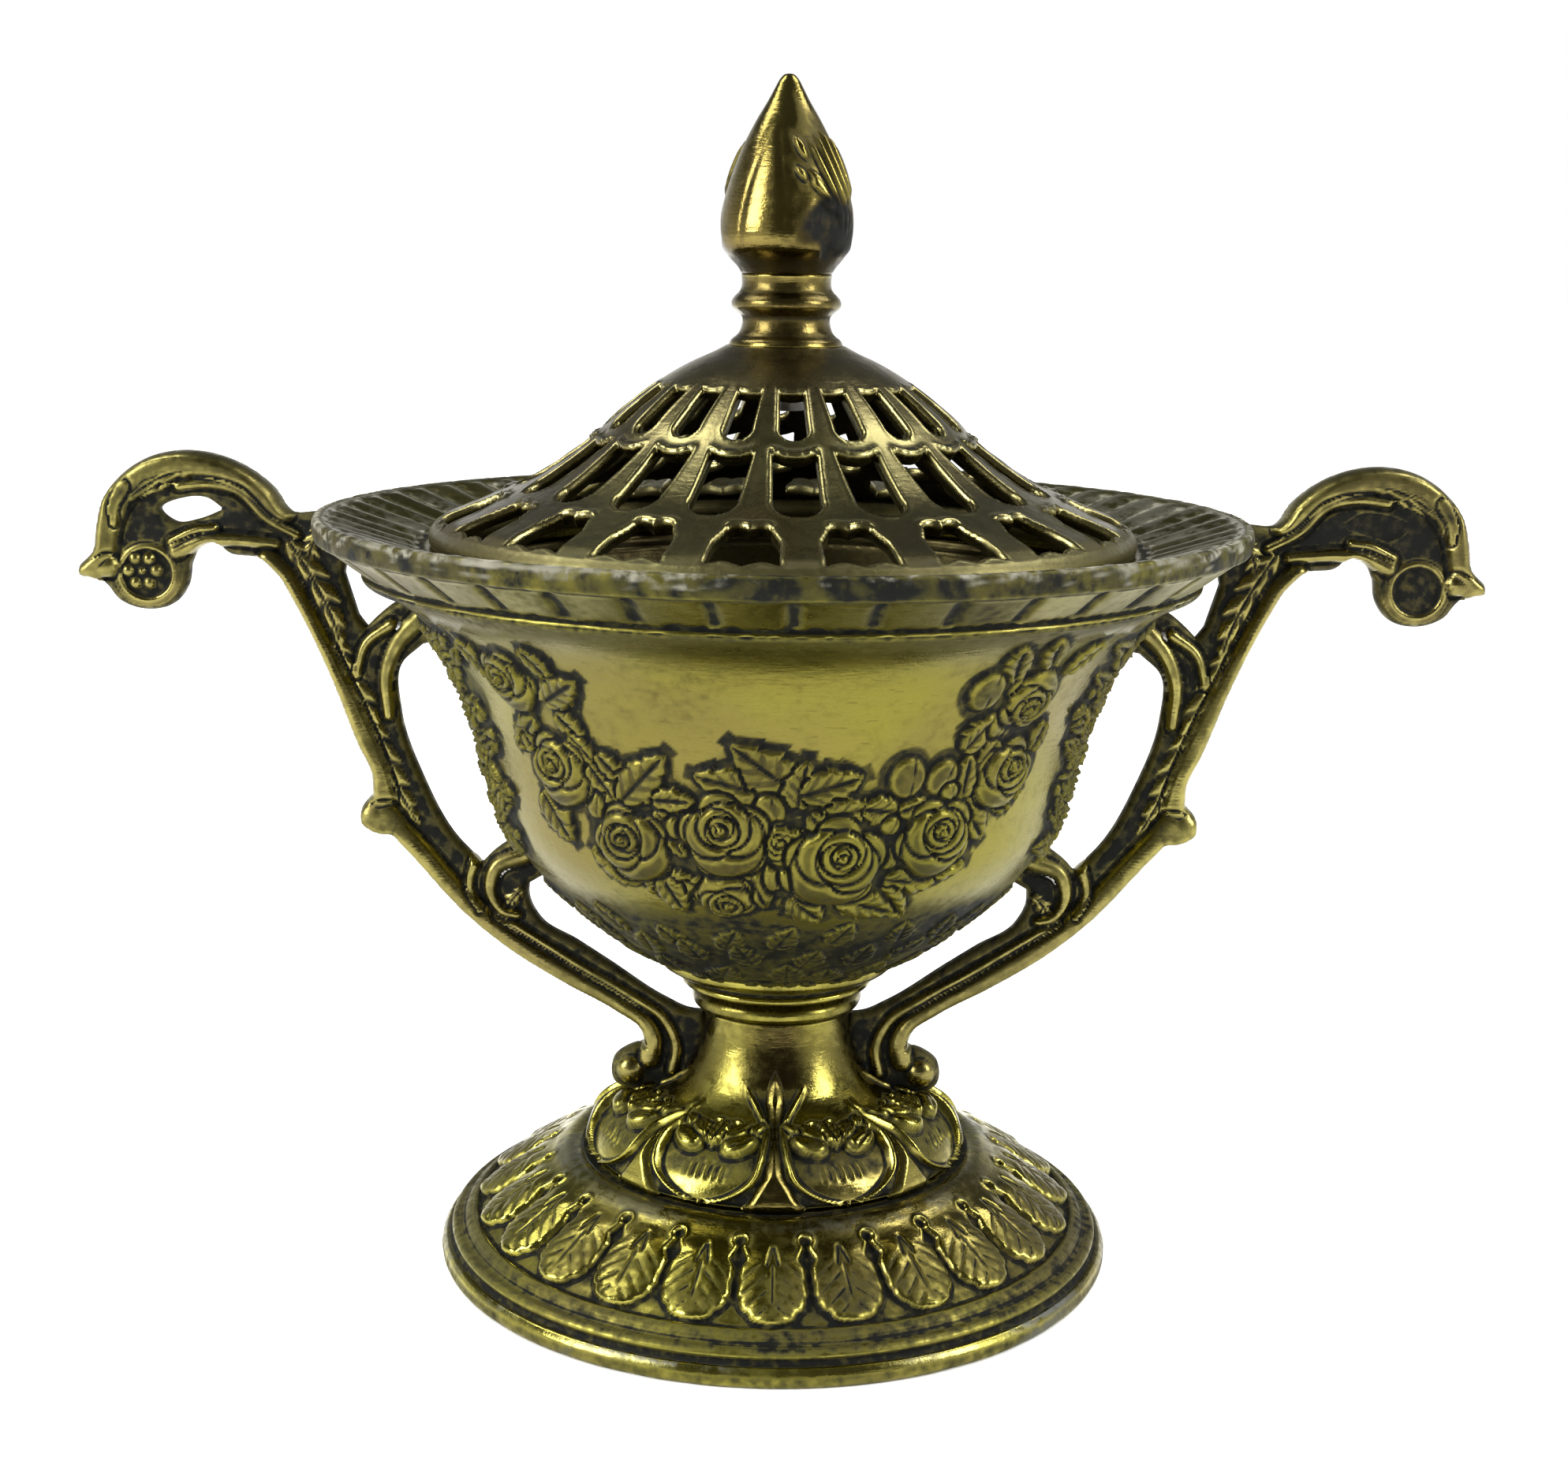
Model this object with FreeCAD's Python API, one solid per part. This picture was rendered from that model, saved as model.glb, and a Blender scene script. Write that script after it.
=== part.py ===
import FreeCAD, Part

import math
import os

# A footed censer: a standing incense burner of cast and turned brass, in millimetres.
# A round foot carries a lobed pedestal, two turned neck rings and a deep bowl, with a wide
# flared rim brazed on top. Two scroll handles stand on +X and -X. A pierced domed lid with a bud finial
# rests in the rim, over a lift-out charcoal pan. A threaded rod through the hollow pedestal
# clamps foot, pedestal, rings and bowl together.
# The origin is on the axis, at the plane the foot stands on. +Z is up, and the front is -Y.

# Driving dimensions
FOOT_RADIUS = 37.5
FOOT_TOP = 11.6
PEDESTAL_TOP = 27.9
LOWER_RING_TOP = 30.9
BOWL_BOTTOM = 34.3
BOWL_FLOOR = 36.0
RIM_SEAM = 76.5
RIM_SEAM_RADIUS = 44.2
RIM_RADIUS = 50.0
RIM_TOP = 83.2
LID_SEAT = 79.8
LID_CROWN = 101.0
COLLAR_TOP = 108.4
TOTAL_HEIGHT = 128.9
FINIAL_TIP_RADIUS = 1.3
FINIAL_TIP_ANGLE = 20.0

# The bore that the lid's skirt and the pan's rim drop into, and the ledge under the pan
SEAT_BORE_RADIUS = 36.9
PAN_LEDGE = 75.2
MOVING_GAP = 0.4

# Piercing of the lid: three rows, one opening of each row to a pitch
PIERCINGS_PER_ROW = 20
LID_TURN = 3.0

# Lobes of the pedestal
LOBES = 8
LOBE_GROOVE_RADIUS = 0.9

# Handles. The left one's window is pierced, and the right one's is closed by a web
HANDLE_THICKNESS = 5.0
SCROLL_WEB = 2.0
ROSETTE_BALL_RADIUS = 4.1
ROSETTE_CENTRE = (68.6, 75.9)
VOLUTE_BALL_RADIUS = 2.3
VOLUTE_CENTRE = (16.3, 20.2)
RIVET_RADIUS = 1.25
RIVET_HEAD_RADIUS = 2.4
RIVET_HEAD_HEIGHT = 0.8

# Clamping rod, M5, and finial stud, M4
ROD_RADIUS = 2.5
ROD_CLEARANCE = 0.15
ROD_NUT_ACROSS_FLATS = 8.0
ROD_NUT_HEIGHT = 4.0
ROD_WASHER_RADIUS = 5.0
ROD_WASHER_HEIGHT = 1.0
ROD_END_BEYOND_NUT = 1.2
STUD_RADIUS = 2.0
STUD_NUT_ACROSS_FLATS = 7.0
STUD_NUT_HEIGHT = 3.2
STUD_WASHER_RADIUS = 4.5
STUD_WASHER_HEIGHT = 0.8
STUD_DEPTH_IN_FINIAL = 8.6

# Plate that spans the foot's opening from below
CLAMP_DISC_RADIUS = 19.0
CLAMP_DISC_HEIGHT = 1.5
FOOT_LEDGE_HEIGHT = 1.5

LID_CROWN_THICKNESS = 1.6
AXIS = FreeCAD.Vector(0, 0, 1)
ORIGIN = FreeCAD.Vector(0, 0, 0)


def in_section(point):
    """A (radius, height) pair as a point of the XZ plane."""
    return FreeCAD.Vector(point[0], 0, point[1])


def outline(start, stretches):
    """A closed face in the XZ plane. A stretch is "line" or "curve" with points, or "arc"."""
    edges = []
    here = in_section(start)
    for kind, *points in stretches:
        places = [in_section(point) for point in points]
        if kind == "line":
            for place in places:
                edges.append(Part.LineSegment(here, place).toShape())
                here = place
        elif kind == "arc":
            edges.append(Part.Arc(here, places[0], places[1]).toShape())
            here = places[1]
        else:
            spline = Part.BSplineCurve()
            spline.interpolate([here] + places)
            edges.append(spline.toShape())
            here = places[-1]
    edges.append(Part.LineSegment(here, in_section(start)).toShape())
    return Part.Face(Part.Wire(edges))


def turned(start, stretches):
    """A solid of revolution about the vertical axis."""
    return outline(start, stretches).revolve(ORIGIN, AXIS, 360)


def disc(radius, low, high, bore=0.0):
    """A flat round plate, with a bore when one is given."""
    plate = Part.makeCylinder(radius, high - low, FreeCAD.Vector(0, 0, low))
    if bore:
        plate = plate.cut(Part.makeCylinder(bore, high - low, FreeCAD.Vector(0, 0, low)))
    return plate


def hex_nut(across_flats, low, high, bore):
    """A hexagon nut on the vertical axis."""
    corner = across_flats / 2 / math.cos(math.radians(30))
    corners = []
    for step in range(7):
        turn = math.radians(60 * step)
        corners.append(FreeCAD.Vector(corner * math.cos(turn), corner * math.sin(turn), low))
    nut = Part.Face(Part.makePolygon(corners)).extrude(FreeCAD.Vector(0, 0, high - low))
    return nut.cut(Part.makeCylinder(bore, high - low, FreeCAD.Vector(0, 0, low)))


def around_axis(shape, degrees):
    """A copy of a shape turned about the vertical axis."""
    copy = shape.copy()
    copy.rotate(ORIGIN, AXIS, degrees)
    return copy


def mirrored(shape):
    """The same shape on the other side of the YZ plane."""
    return shape.mirror(ORIGIN, FreeCAD.Vector(1, 0, 0))


def make_foot_base():
    """Hollow cast foot: a short rim band, a moulding and a low dome up to the pedestal."""
    under_ledge = FOOT_TOP - FOOT_LEDGE_HEIGHT
    return turned((FOOT_RADIUS, 0), [
        ("line", (FOOT_RADIUS, 1.9), (36.9, 2.4)),
        ("arc", (36.9, 3.1), (36.2, 3.4)),
        ("line", (35.6, 3.8)),
        ("curve", (32.5, 6.0), (27.8, 9.0), (24.3, 11.3)),
        ("arc", (23.2, 12.0), (22.1, 11.9)),
        ("line", (21.6, FOOT_TOP), (17.0, FOOT_TOP), (17.0, under_ledge), (21.8, under_ledge)),
        ("curve", (26.6, 7.8), (31.2, 4.9), (34.3, 2.7)),
        ("line", (35.3, 1.4), (35.3, 0)),
    ])


def pedestal_outside():
    """Outer stretches of the pedestal, from the foot's ledge to the top of the stem."""
    return [
        ("curve", (21.0, 13.6), (19.6, 16.1), (17.0, 17.9), (14.4, 18.2), (12.4, 17.6)),
        ("curve", (10.6, 18.4), (9.2, 21.4), (8.1, 24.6), (8.0, PEDESTAL_TOP)),
    ]


def make_pedestal():
    """Hollow lobed bulge under a trumpet-shaped stem."""
    bore = ROD_RADIUS + ROD_CLEARANCE
    body = turned((21.2, FOOT_TOP), pedestal_outside() + [
        ("line", (bore, PEDESTAL_TOP), (bore, 24.6)),
        ("curve", (5.6, 22.0), (7.4, 18.0), (10.2, 15.2)),
        ("curve", (14.0, 15.6), (17.4, 14.4), (18.7, FOOT_TOP)),
    ])
    groove_major = 5.6
    groove_centre = FreeCAD.Vector(16.2, 0, 12.9)
    sideways = FreeCAD.Vector(0, 1, 0)
    groove = Part.makeTorus(groove_major, LOBE_GROOVE_RADIUS, groove_centre, sideways)
    for lobe in range(LOBES):
        body = body.cut(around_axis(groove, 360 / LOBES * lobe))
    return body


def lower_ring(bore):
    """The bead's round outside, around a bore of any size."""
    return turned((bore, PEDESTAL_TOP), [
        ("line", (8.3, PEDESTAL_TOP)),
        ("arc", (9.5, 29.2), (8.9, LOWER_RING_TOP)),
        ("line", (bore, LOWER_RING_TOP)),
    ])


def make_neck_ring_lower():
    """Round bead between the stem and the cup."""
    return lower_ring(ROD_RADIUS + ROD_CLEARANCE)


def make_neck_ring_upper():
    """Small cup that the bowl stands in."""
    bore = ROD_RADIUS + ROD_CLEARANCE
    return turned((bore, LOWER_RING_TOP), [
        ("line", (10.5, LOWER_RING_TOP)),
        ("curve", (11.3, 31.7), (12.7, 32.9), (13.3, BOWL_BOTTOM)),
        ("line", (bore, BOWL_BOTTOM)),
    ])


def bowl_outside():
    """Outer stretches of the bowl, from the bottom's edge to the seam under the rim."""
    return [
        ("curve", (17.7, 36.7), (22.6, 40.6), (27.2, 45.2), (30.4, 50.0), (31.9, 55.0),
         (33.4, 61.0), (36.0, 67.7), (40.0, 73.6), (RIM_SEAM_RADIUS, RIM_SEAM)),
    ]


def rim_outside():
    """Outer stretches of the rim, from the seam to its top outer edge."""
    return [
        ("arc", (44.9, 76.8), (44.8, 77.3)),
        ("line", (49.4, 80.6)),
        ("arc", (49.9, 80.9), (RIM_RADIUS, 81.3)),
        ("line", (RIM_RADIUS, 82.7)),
        ("arc", (49.85, 83.05), (49.5, RIM_TOP)),
    ]


def make_bowl():
    """Deep bowl with a ledge for the pan."""
    bore = ROD_RADIUS + ROD_CLEARANCE
    return turned((13.3, BOWL_BOTTOM), bowl_outside() + [
        ("line", (SEAT_BORE_RADIUS, RIM_SEAM), (SEAT_BORE_RADIUS, PAN_LEDGE)),
        ("line", (35.2, PAN_LEDGE), (35.2, 74.2)),
        ("curve", (34.9, 70.5), (33.6, 66.5), (31.6, 60.5), (30.1, 54.5), (28.5, 50.0),
         (25.6, 46.1), (21.2, 42.0), (16.6, 38.7), (11.5, BOWL_FLOOR)),
        ("line", (bore, BOWL_FLOOR), (bore, BOWL_BOTTOM)),
    ])


def make_rim():
    """Flared rim, brazed on the bowl, with the bore and the seat for the lid."""
    return turned((RIM_SEAM_RADIUS, RIM_SEAM), rim_outside() + [
        ("line", (48.9, RIM_TOP), (38.7, LID_SEAT), (SEAT_BORE_RADIUS, LID_SEAT)),
        ("line", (SEAT_BORE_RADIUS, RIM_SEAM)),
    ])


def bowl_filled():
    """The outer shape of bowl and rim as a plain solid, for fitting what touches them."""
    return turned((13.3, BOWL_BOTTOM), bowl_outside() + rim_outside() + [
        ("line", (0, RIM_TOP), (0, BOWL_BOTTOM)),
    ])


def make_burner_pan():
    """Turned charcoal pan with a rolled rim that rests on the bowl's ledge."""
    rim_radius = SEAT_BORE_RADIUS - MOVING_GAP
    return turned((rim_radius, PAN_LEDGE), [
        ("line", (rim_radius, 76.0)),
        ("arc", (35.7, 76.8), (34.9, 76.0)),
        ("line", (33.7, 75.8)),
        ("arc", (33.2, 75.6), (33.0, 75.1)),
        ("line", (30.0, 60.0)),
        ("arc", (29.5, 58.8), (28.3, 58.3)),
        ("line", (0, 58.3), (0, 57.3), (28.5, 57.3)),
        ("arc", (30.2, 58.0), (31.0, 59.8)),
        ("line", (34.0, PAN_LEDGE)),
    ])


def tapered_slot(inner_radius, inner_half_width, outer_radius, outer_half_width):
    """Upright cutter for a slot that runs out along +X, round at both ends in plan."""
    near = inner_radius + inner_half_width
    far = outer_radius - outer_half_width
    corners = [
        FreeCAD.Vector(near, -inner_half_width, 0),
        FreeCAD.Vector(far, -outer_half_width, 0),
        FreeCAD.Vector(far, outer_half_width, 0),
        FreeCAD.Vector(near, inner_half_width, 0),
    ]
    edges = [
        Part.LineSegment(corners[0], corners[1]).toShape(),
        Part.Arc(corners[1], FreeCAD.Vector(outer_radius, 0, 0), corners[2]).toShape(),
        Part.LineSegment(corners[2], corners[3]).toShape(),
        Part.Arc(corners[3], FreeCAD.Vector(inner_radius, 0, 0), corners[0]).toShape(),
    ]
    return Part.Face(Part.Wire(edges)).extrude(FreeCAD.Vector(0, 0, TOTAL_HEIGHT))


def make_lid():
    """Domed lid with a flange, a locating skirt and three rows of piercings."""
    skirt_outer = SEAT_BORE_RADIUS - MOVING_GAP
    skirt_inner = skirt_outer - 1.0
    skirt_bottom = LID_SEAT - 1.6
    crown_inside = LID_CROWN - LID_CROWN_THICKNESS
    lid = turned((37.6, LID_SEAT), [
        ("arc", (37.9, 81.0), (37.3, 82.0)),
        ("line", (36.2, 82.7)),
        ("curve", (30.2, 85.4), (23.2, 89.2), (17.9, 93.7), (12.0, 98.1), (7.5, 100.3)),
        ("line", (6.3, LID_CROWN), (STUD_RADIUS, LID_CROWN), (STUD_RADIUS, crown_inside)),
        ("line", (6.2, crown_inside)),
        ("curve", (11.0, 97.0), (16.9, 92.6), (22.3, 88.0), (29.5, 84.0), (35.0, 81.4)),
        ("line", (skirt_inner, 80.6), (skirt_inner, skirt_bottom)),
        ("line", (skirt_outer, skirt_bottom), (skirt_outer, LID_SEAT)),
    ])
    pitch = 360 / PIERCINGS_PER_ROW
    facing_front = -90 + LID_TURN
    top_slot = tapered_slot(13.6, 1.1, 19.1, 1.5)
    middle_slot = tapered_slot(20.4, 1.8, 28.6, 2.5)
    lower_gap = tapered_slot(30.4, 2.2, 36.1, 2.75)
    cutters = []
    for step in range(PIERCINGS_PER_ROW):
        turn = facing_front + pitch * step
        cutters.append(around_axis(top_slot, turn))
        cutters.append(around_axis(middle_slot, turn))
        cutters.append(around_axis(lower_gap, turn + pitch / 2))
    return lid.cut(Part.makeCompound(cutters))


def make_finial_collar():
    """Stepped neck with a bead, between the lid's crown and the bud."""
    return turned((STUD_RADIUS, LID_CROWN), [
        ("line", (6.2, LID_CROWN)),
        ("curve", (5.2, 102.1), (4.6, 103.4), (4.8, 104.4)),
        ("arc", (5.8, 105.4), (4.9, 106.5)),
        ("curve", (4.6, 107.6), (4.9, COLLAR_TOP)),
        ("line", (STUD_RADIUS, COLLAR_TOP)),
    ])


def make_finial():
    """Pointed bud."""
    hole_top = COLLAR_TOP + STUD_DEPTH_IN_FINIAL
    tip_centre = TOTAL_HEIGHT - FINIAL_TIP_RADIUS

    def on_tip(degrees):
        angle = math.radians(degrees)
        return FINIAL_TIP_RADIUS * math.cos(angle), tip_centre + FINIAL_TIP_RADIUS * math.sin(angle)

    return turned((STUD_RADIUS, COLLAR_TOP), [
        ("line", (4.9, COLLAR_TOP)),
        ("curve", (6.5, 110.6), (7.26, 112.8), (6.8, 115.8), (5.3, 120.2), (3.3, 124.2),
         on_tip(FINIAL_TIP_ANGLE)),
        ("arc", on_tip((FINIAL_TIP_ANGLE + 90) / 2), on_tip(90)),
        ("line", (0, hole_top), (STUD_RADIUS, hole_top)),
    ])


def handle_outline():
    """Side view of the +X handle, reaching into the bowl and the stem, where it is trimmed."""
    return outline((49.2, 82.8), [
        ("line", (53.0, 82.6)),
        ("curve", (57.7, 87.3), (64.5, 89.0), (71.0, 86.4), (73.9, 80.9), (76.3, 76.1)),
        ("line", (72.9, 74.4), (66.4, 72.2), (64.3, 74.5)),
        ("curve", (63.4, 78.1), (61.4, 79.1), (59.6, 77.9), (56.5, 77.5), (54.0, 74.7)),
        ("curve", (50.5, 67.8), (47.6, 60.8), (44.8, 53.8), (44.7, 52.0)),
        ("curve", (46.4, 49.0), (42.7, 46.9)),
        ("curve", (37.8, 41.3), (30.0, 34.2), (20.6, 28.6), (14.8, 23.3)),
        ("line", (14.8, 18.6), (7.0, 18.6), (7.0, 26.6), (9.8, 26.8)),
        ("curve", (14.8, 29.6), (22.4, 34.9), (26.9, 38.0), (27.6, 42.0)),
        ("line", (24.5, 42.0), (24.5, 46.5), (29.4, 46.5)),
        ("curve", (31.9, 45.2), (32.9, 43.6)),
        ("curve", (35.6, 46.5), (39.4, 53.5), (41.9, 60.8), (41.7, 66.3), (39.5, 68.4)),
        ("line", (34.0, 68.4), (34.0, 73.4), (41.4, 73.3)),
        ("curve", (43.7, 71.7), (45.1, 70.0)),
        ("line", (47.8, 76.5), (46.5, 79.5)),
    ])


def scroll_window():
    """The window under the hood of the scroll, in side view."""
    return outline((60.2, 82.8), [
        ("curve", (62.0, 84.1), (64.7, 84.0), (67.2, 82.7)),
        ("curve", (65.4, 81.1), (63.0, 81.5)),
    ])


def make_handle(web):
    """Scroll handle on +X, trimmed to the bowl and the pedestal, with a web left in its window."""
    half = HANDLE_THICKNESS / 2
    body = handle_outline().extrude(FreeCAD.Vector(0, HANDLE_THICKNESS, 0))
    body.translate(FreeCAD.Vector(0, -half, 0))
    recess = scroll_window().extrude(FreeCAD.Vector(0, half - web / 2, 0))
    near_recess, far_recess = recess.copy(), recess.copy()
    near_recess.translate(FreeCAD.Vector(0, -half, 0))
    far_recess.translate(FreeCAD.Vector(0, web / 2, 0))
    rosette = Part.makeSphere(ROSETTE_BALL_RADIUS, in_section(ROSETTE_CENTRE))
    volute = Part.makeSphere(VOLUTE_BALL_RADIUS, in_section(VOLUTE_CENTRE))
    body = body.cut([near_recess, far_recess]).fuse([rosette, volute])
    pedestal_filled = turned((21.2, FOOT_TOP), pedestal_outside() + [
        ("line", (0, PEDESTAL_TOP), (0, FOOT_TOP)),
    ])
    body = body.cut(bowl_filled()).cut(pedestal_filled).cut(lower_ring(0))
    return max(body.Solids, key=lambda solid: solid.Volume)


def rivet(base, direction, length):
    """A rivet whose head lies on the bowl's inner face and whose shank runs outwards."""
    shank = Part.makeCylinder(RIVET_RADIUS, length, base, direction)
    head_start = base - direction * RIVET_HEAD_HEIGHT
    head = Part.makeCylinder(RIVET_HEAD_RADIUS, RIVET_HEAD_HEIGHT, head_start, direction)
    return shank, shank.fuse(head).removeSplitter()


def make_all():
    """Every sub-part by its node name."""
    handle_right = make_handle(SCROLL_WEB)
    handle_left = make_handle(0)
    bowl = make_bowl()
    upper = rivet(FreeCAD.Vector(34.85, 0, 70.4), FreeCAD.Vector(1, 0, 0), 7.0)
    lower_direction = FreeCAD.Vector(0.76, 0, -0.65).normalize()
    lower = rivet(FreeCAD.Vector(26.2, 0, 46.9), lower_direction, 6.4)
    rivets = []
    for shank, whole in (upper, lower):
        handle_right = handle_right.cut(shank)
        handle_left = handle_left.cut(shank)
        for placed_shank, placed in ((shank, whole), (mirrored(shank), mirrored(whole))):
            bowl = bowl.cut(placed_shank)
            rivets.append(placed)
    rivets = [placed.cut(bowl) for placed in rivets]

    clamp_top = FOOT_TOP - FOOT_LEDGE_HEIGHT
    clamp_bottom = clamp_top - CLAMP_DISC_HEIGHT
    low_washer_bottom = clamp_bottom - ROD_WASHER_HEIGHT
    low_nut_bottom = low_washer_bottom - ROD_NUT_HEIGHT
    high_washer_top = BOWL_FLOOR + ROD_WASHER_HEIGHT
    high_nut_top = high_washer_top + ROD_NUT_HEIGHT
    rod_bottom = low_nut_bottom - ROD_END_BEYOND_NUT
    rod_top = high_nut_top + ROD_END_BEYOND_NUT
    bore = ROD_RADIUS + ROD_CLEARANCE

    crown_inside = LID_CROWN - LID_CROWN_THICKNESS
    stud_washer_bottom = crown_inside - STUD_WASHER_HEIGHT
    stud_nut_bottom = stud_washer_bottom - STUD_NUT_HEIGHT
    stud_top = COLLAR_TOP + STUD_DEPTH_IN_FINIAL

    return {
        "foot_base": make_foot_base(),
        "pedestal": make_pedestal(),
        "neck_ring_lower": make_neck_ring_lower(),
        "neck_ring_upper": make_neck_ring_upper(),
        "bowl": bowl,
        "rim": make_rim(),
        "handle_right": handle_right,
        "handle_left": mirrored(handle_left),
        "handle_rivets": Part.makeCompound(rivets),
        "clamp_disc": disc(CLAMP_DISC_RADIUS, clamp_bottom, clamp_top, bore),
        "rod_washer_bottom": disc(ROD_WASHER_RADIUS, low_washer_bottom, clamp_bottom, bore),
        "rod_nut_bottom": hex_nut(ROD_NUT_ACROSS_FLATS, low_nut_bottom, low_washer_bottom, ROD_RADIUS),
        "rod_washer_top": disc(ROD_WASHER_RADIUS, BOWL_FLOOR, high_washer_top, bore),
        "rod_nut_top": hex_nut(ROD_NUT_ACROSS_FLATS, high_washer_top, high_nut_top, ROD_RADIUS),
        "tie_rod": disc(ROD_RADIUS, rod_bottom, rod_top),
        "burner_pan": make_burner_pan(),
        "lid": make_lid(),
        "finial_collar": make_finial_collar(),
        "finial": make_finial(),
        "finial_stud": disc(STUD_RADIUS, stud_nut_bottom - ROD_END_BEYOND_NUT, stud_top),
        "finial_washer": disc(STUD_WASHER_RADIUS, stud_washer_bottom, crown_inside, STUD_RADIUS),
        "finial_nut": hex_nut(STUD_NUT_ACROSS_FLATS, stud_nut_bottom, stud_washer_bottom, STUD_RADIUS),
    }


os.makedirs("parts", exist_ok=True)
for name, shape in make_all().items():
    shape.exportStep("parts/" + name + ".step")
    box = shape.BoundBox
    print(name, len(shape.Solids), "solids", shape.isValid(), round(shape.Volume, 1), "mm3",
          [round(value, 2) for value in (box.XMin, box.YMin, box.ZMin, box.XMax, box.YMax, box.ZMax)])
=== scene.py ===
"""Looks of a standing brass censer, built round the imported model.

Lengths in this file are millimetres until a mesh is made, and azimuths are degrees from the front
(-Y) towards +X. Castings are grids whose points carry a relief height; the depth of each point
below its surroundings is stored with the mesh, so that the patina settles in the recesses.
"""
import math

import bpy
import numpy as np
from mathutils import Matrix, Vector


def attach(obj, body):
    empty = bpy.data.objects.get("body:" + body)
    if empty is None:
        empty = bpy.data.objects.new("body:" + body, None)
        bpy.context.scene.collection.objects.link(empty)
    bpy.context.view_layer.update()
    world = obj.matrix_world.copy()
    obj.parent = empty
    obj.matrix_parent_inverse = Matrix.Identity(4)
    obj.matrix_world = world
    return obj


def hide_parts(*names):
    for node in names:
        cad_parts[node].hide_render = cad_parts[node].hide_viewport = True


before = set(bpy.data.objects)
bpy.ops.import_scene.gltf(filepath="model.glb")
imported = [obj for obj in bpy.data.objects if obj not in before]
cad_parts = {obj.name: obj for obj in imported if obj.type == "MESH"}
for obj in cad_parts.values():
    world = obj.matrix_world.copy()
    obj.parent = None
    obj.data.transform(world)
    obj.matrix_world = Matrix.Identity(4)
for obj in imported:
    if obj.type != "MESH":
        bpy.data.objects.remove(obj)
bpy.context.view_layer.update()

MM = 0.001
TURN = 2 * math.pi
# The distance of places that no motif or outline is near to
FAR = 99.0
# Width of the dirt that gathers along a motif's edge, and how far from its middle a motif may reach
LINE_WIDTH = 0.44
MOTIF_REACH = 9.0


# ---------------------------------------------------------------- curves and grids


def spline(points, step):
    """A smooth curve through points, sampled about every step, without its last point."""
    known = np.array(points, float)
    padded = np.vstack([2 * known[0] - known[1], known, 2 * known[-1] - known[-2]])
    chords = np.maximum(np.linalg.norm(np.diff(padded, axis=0), axis=1), 1e-9)
    slopes = np.diff(padded, axis=0) / chords[:, None]
    before, after = chords[:-1, None], chords[1:, None]
    tangents = (slopes[:-1] * after + slopes[1:] * before) / (before + after)
    samples = []
    for index, chord in enumerate(chords[1:-1]):
        count = max(1, math.ceil(chord / step))
        t = (np.arange(count) / count)[:, None]
        start, end = known[index], known[index + 1]
        samples.append(
            (2 * t**3 - 3 * t**2 + 1) * start + (3 * t**2 - 2 * t**3) * end
            + (t**3 - 2 * t**2 + t) * chord * tangents[index]
            + (t**3 - t**2) * chord * tangents[index + 1]
        )
    return np.vstack(samples)


def outline(start, *stretches):
    """Points of an outline. A stretch is ("line" or "curve", step, points); corners stay sharp."""
    here, samples = start, []
    for kind, step, *points in stretches:
        if kind == "curve":
            samples.append(spline([here, *points], step))
        else:
            for first, last in zip([here, *points], points):
                samples.append(spline([first, last], step))
        here = points[-1]
    return np.vstack([*samples, [here]])


def smoothstep(low, high, value):
    t = np.clip((value - low) / (high - low), 0, 1)
    return t * t * (3 - 2 * t)


def ridge(distance, width):
    """1 on a line, falling away over width."""
    return np.exp(-((distance / width) ** 2))


def ripples(seed, *coordinates, waves=7, scale=1.0):
    """Smooth seeded unevenness from -1 to 1, from a sum of waves in random directions."""
    random = np.random.default_rng(seed)
    total = 0
    for _ in range(waves):
        direction = random.normal(size=len(coordinates))
        phase = random.uniform(0, TURN)
        mixed = sum(d * c for d, c in zip(direction, coordinates))
        total = total + np.sin(mixed / scale + phase)
    return total / waves * 1.6


def swing_from(azimuth, middle):
    """Azimuth counted from a middle, between half a turn each way, in radians."""
    return (azimuth - middle + math.pi) % TURN - math.pi


def strongest(like, *masks):
    """The greatest of several masks at each place of a full grid."""
    return np.maximum.reduce([mask + 0 * like for mask in masks])


def round_ripples(seed, azimuth, radius, *others, **settings):
    """Unevenness over a turned surface, without a break where the azimuth comes round."""
    return ripples(seed, radius * np.cos(azimuth), radius * np.sin(azimuth), *others, **settings)


def round_points(radius, azimuth, level):
    """Points round the axis, as rows of x, y and z."""
    x, y = radius * np.sin(azimuth), -radius * np.cos(azimuth)
    return np.stack([x, y, level + 0 * x], -1).reshape(-1, 3)


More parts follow.
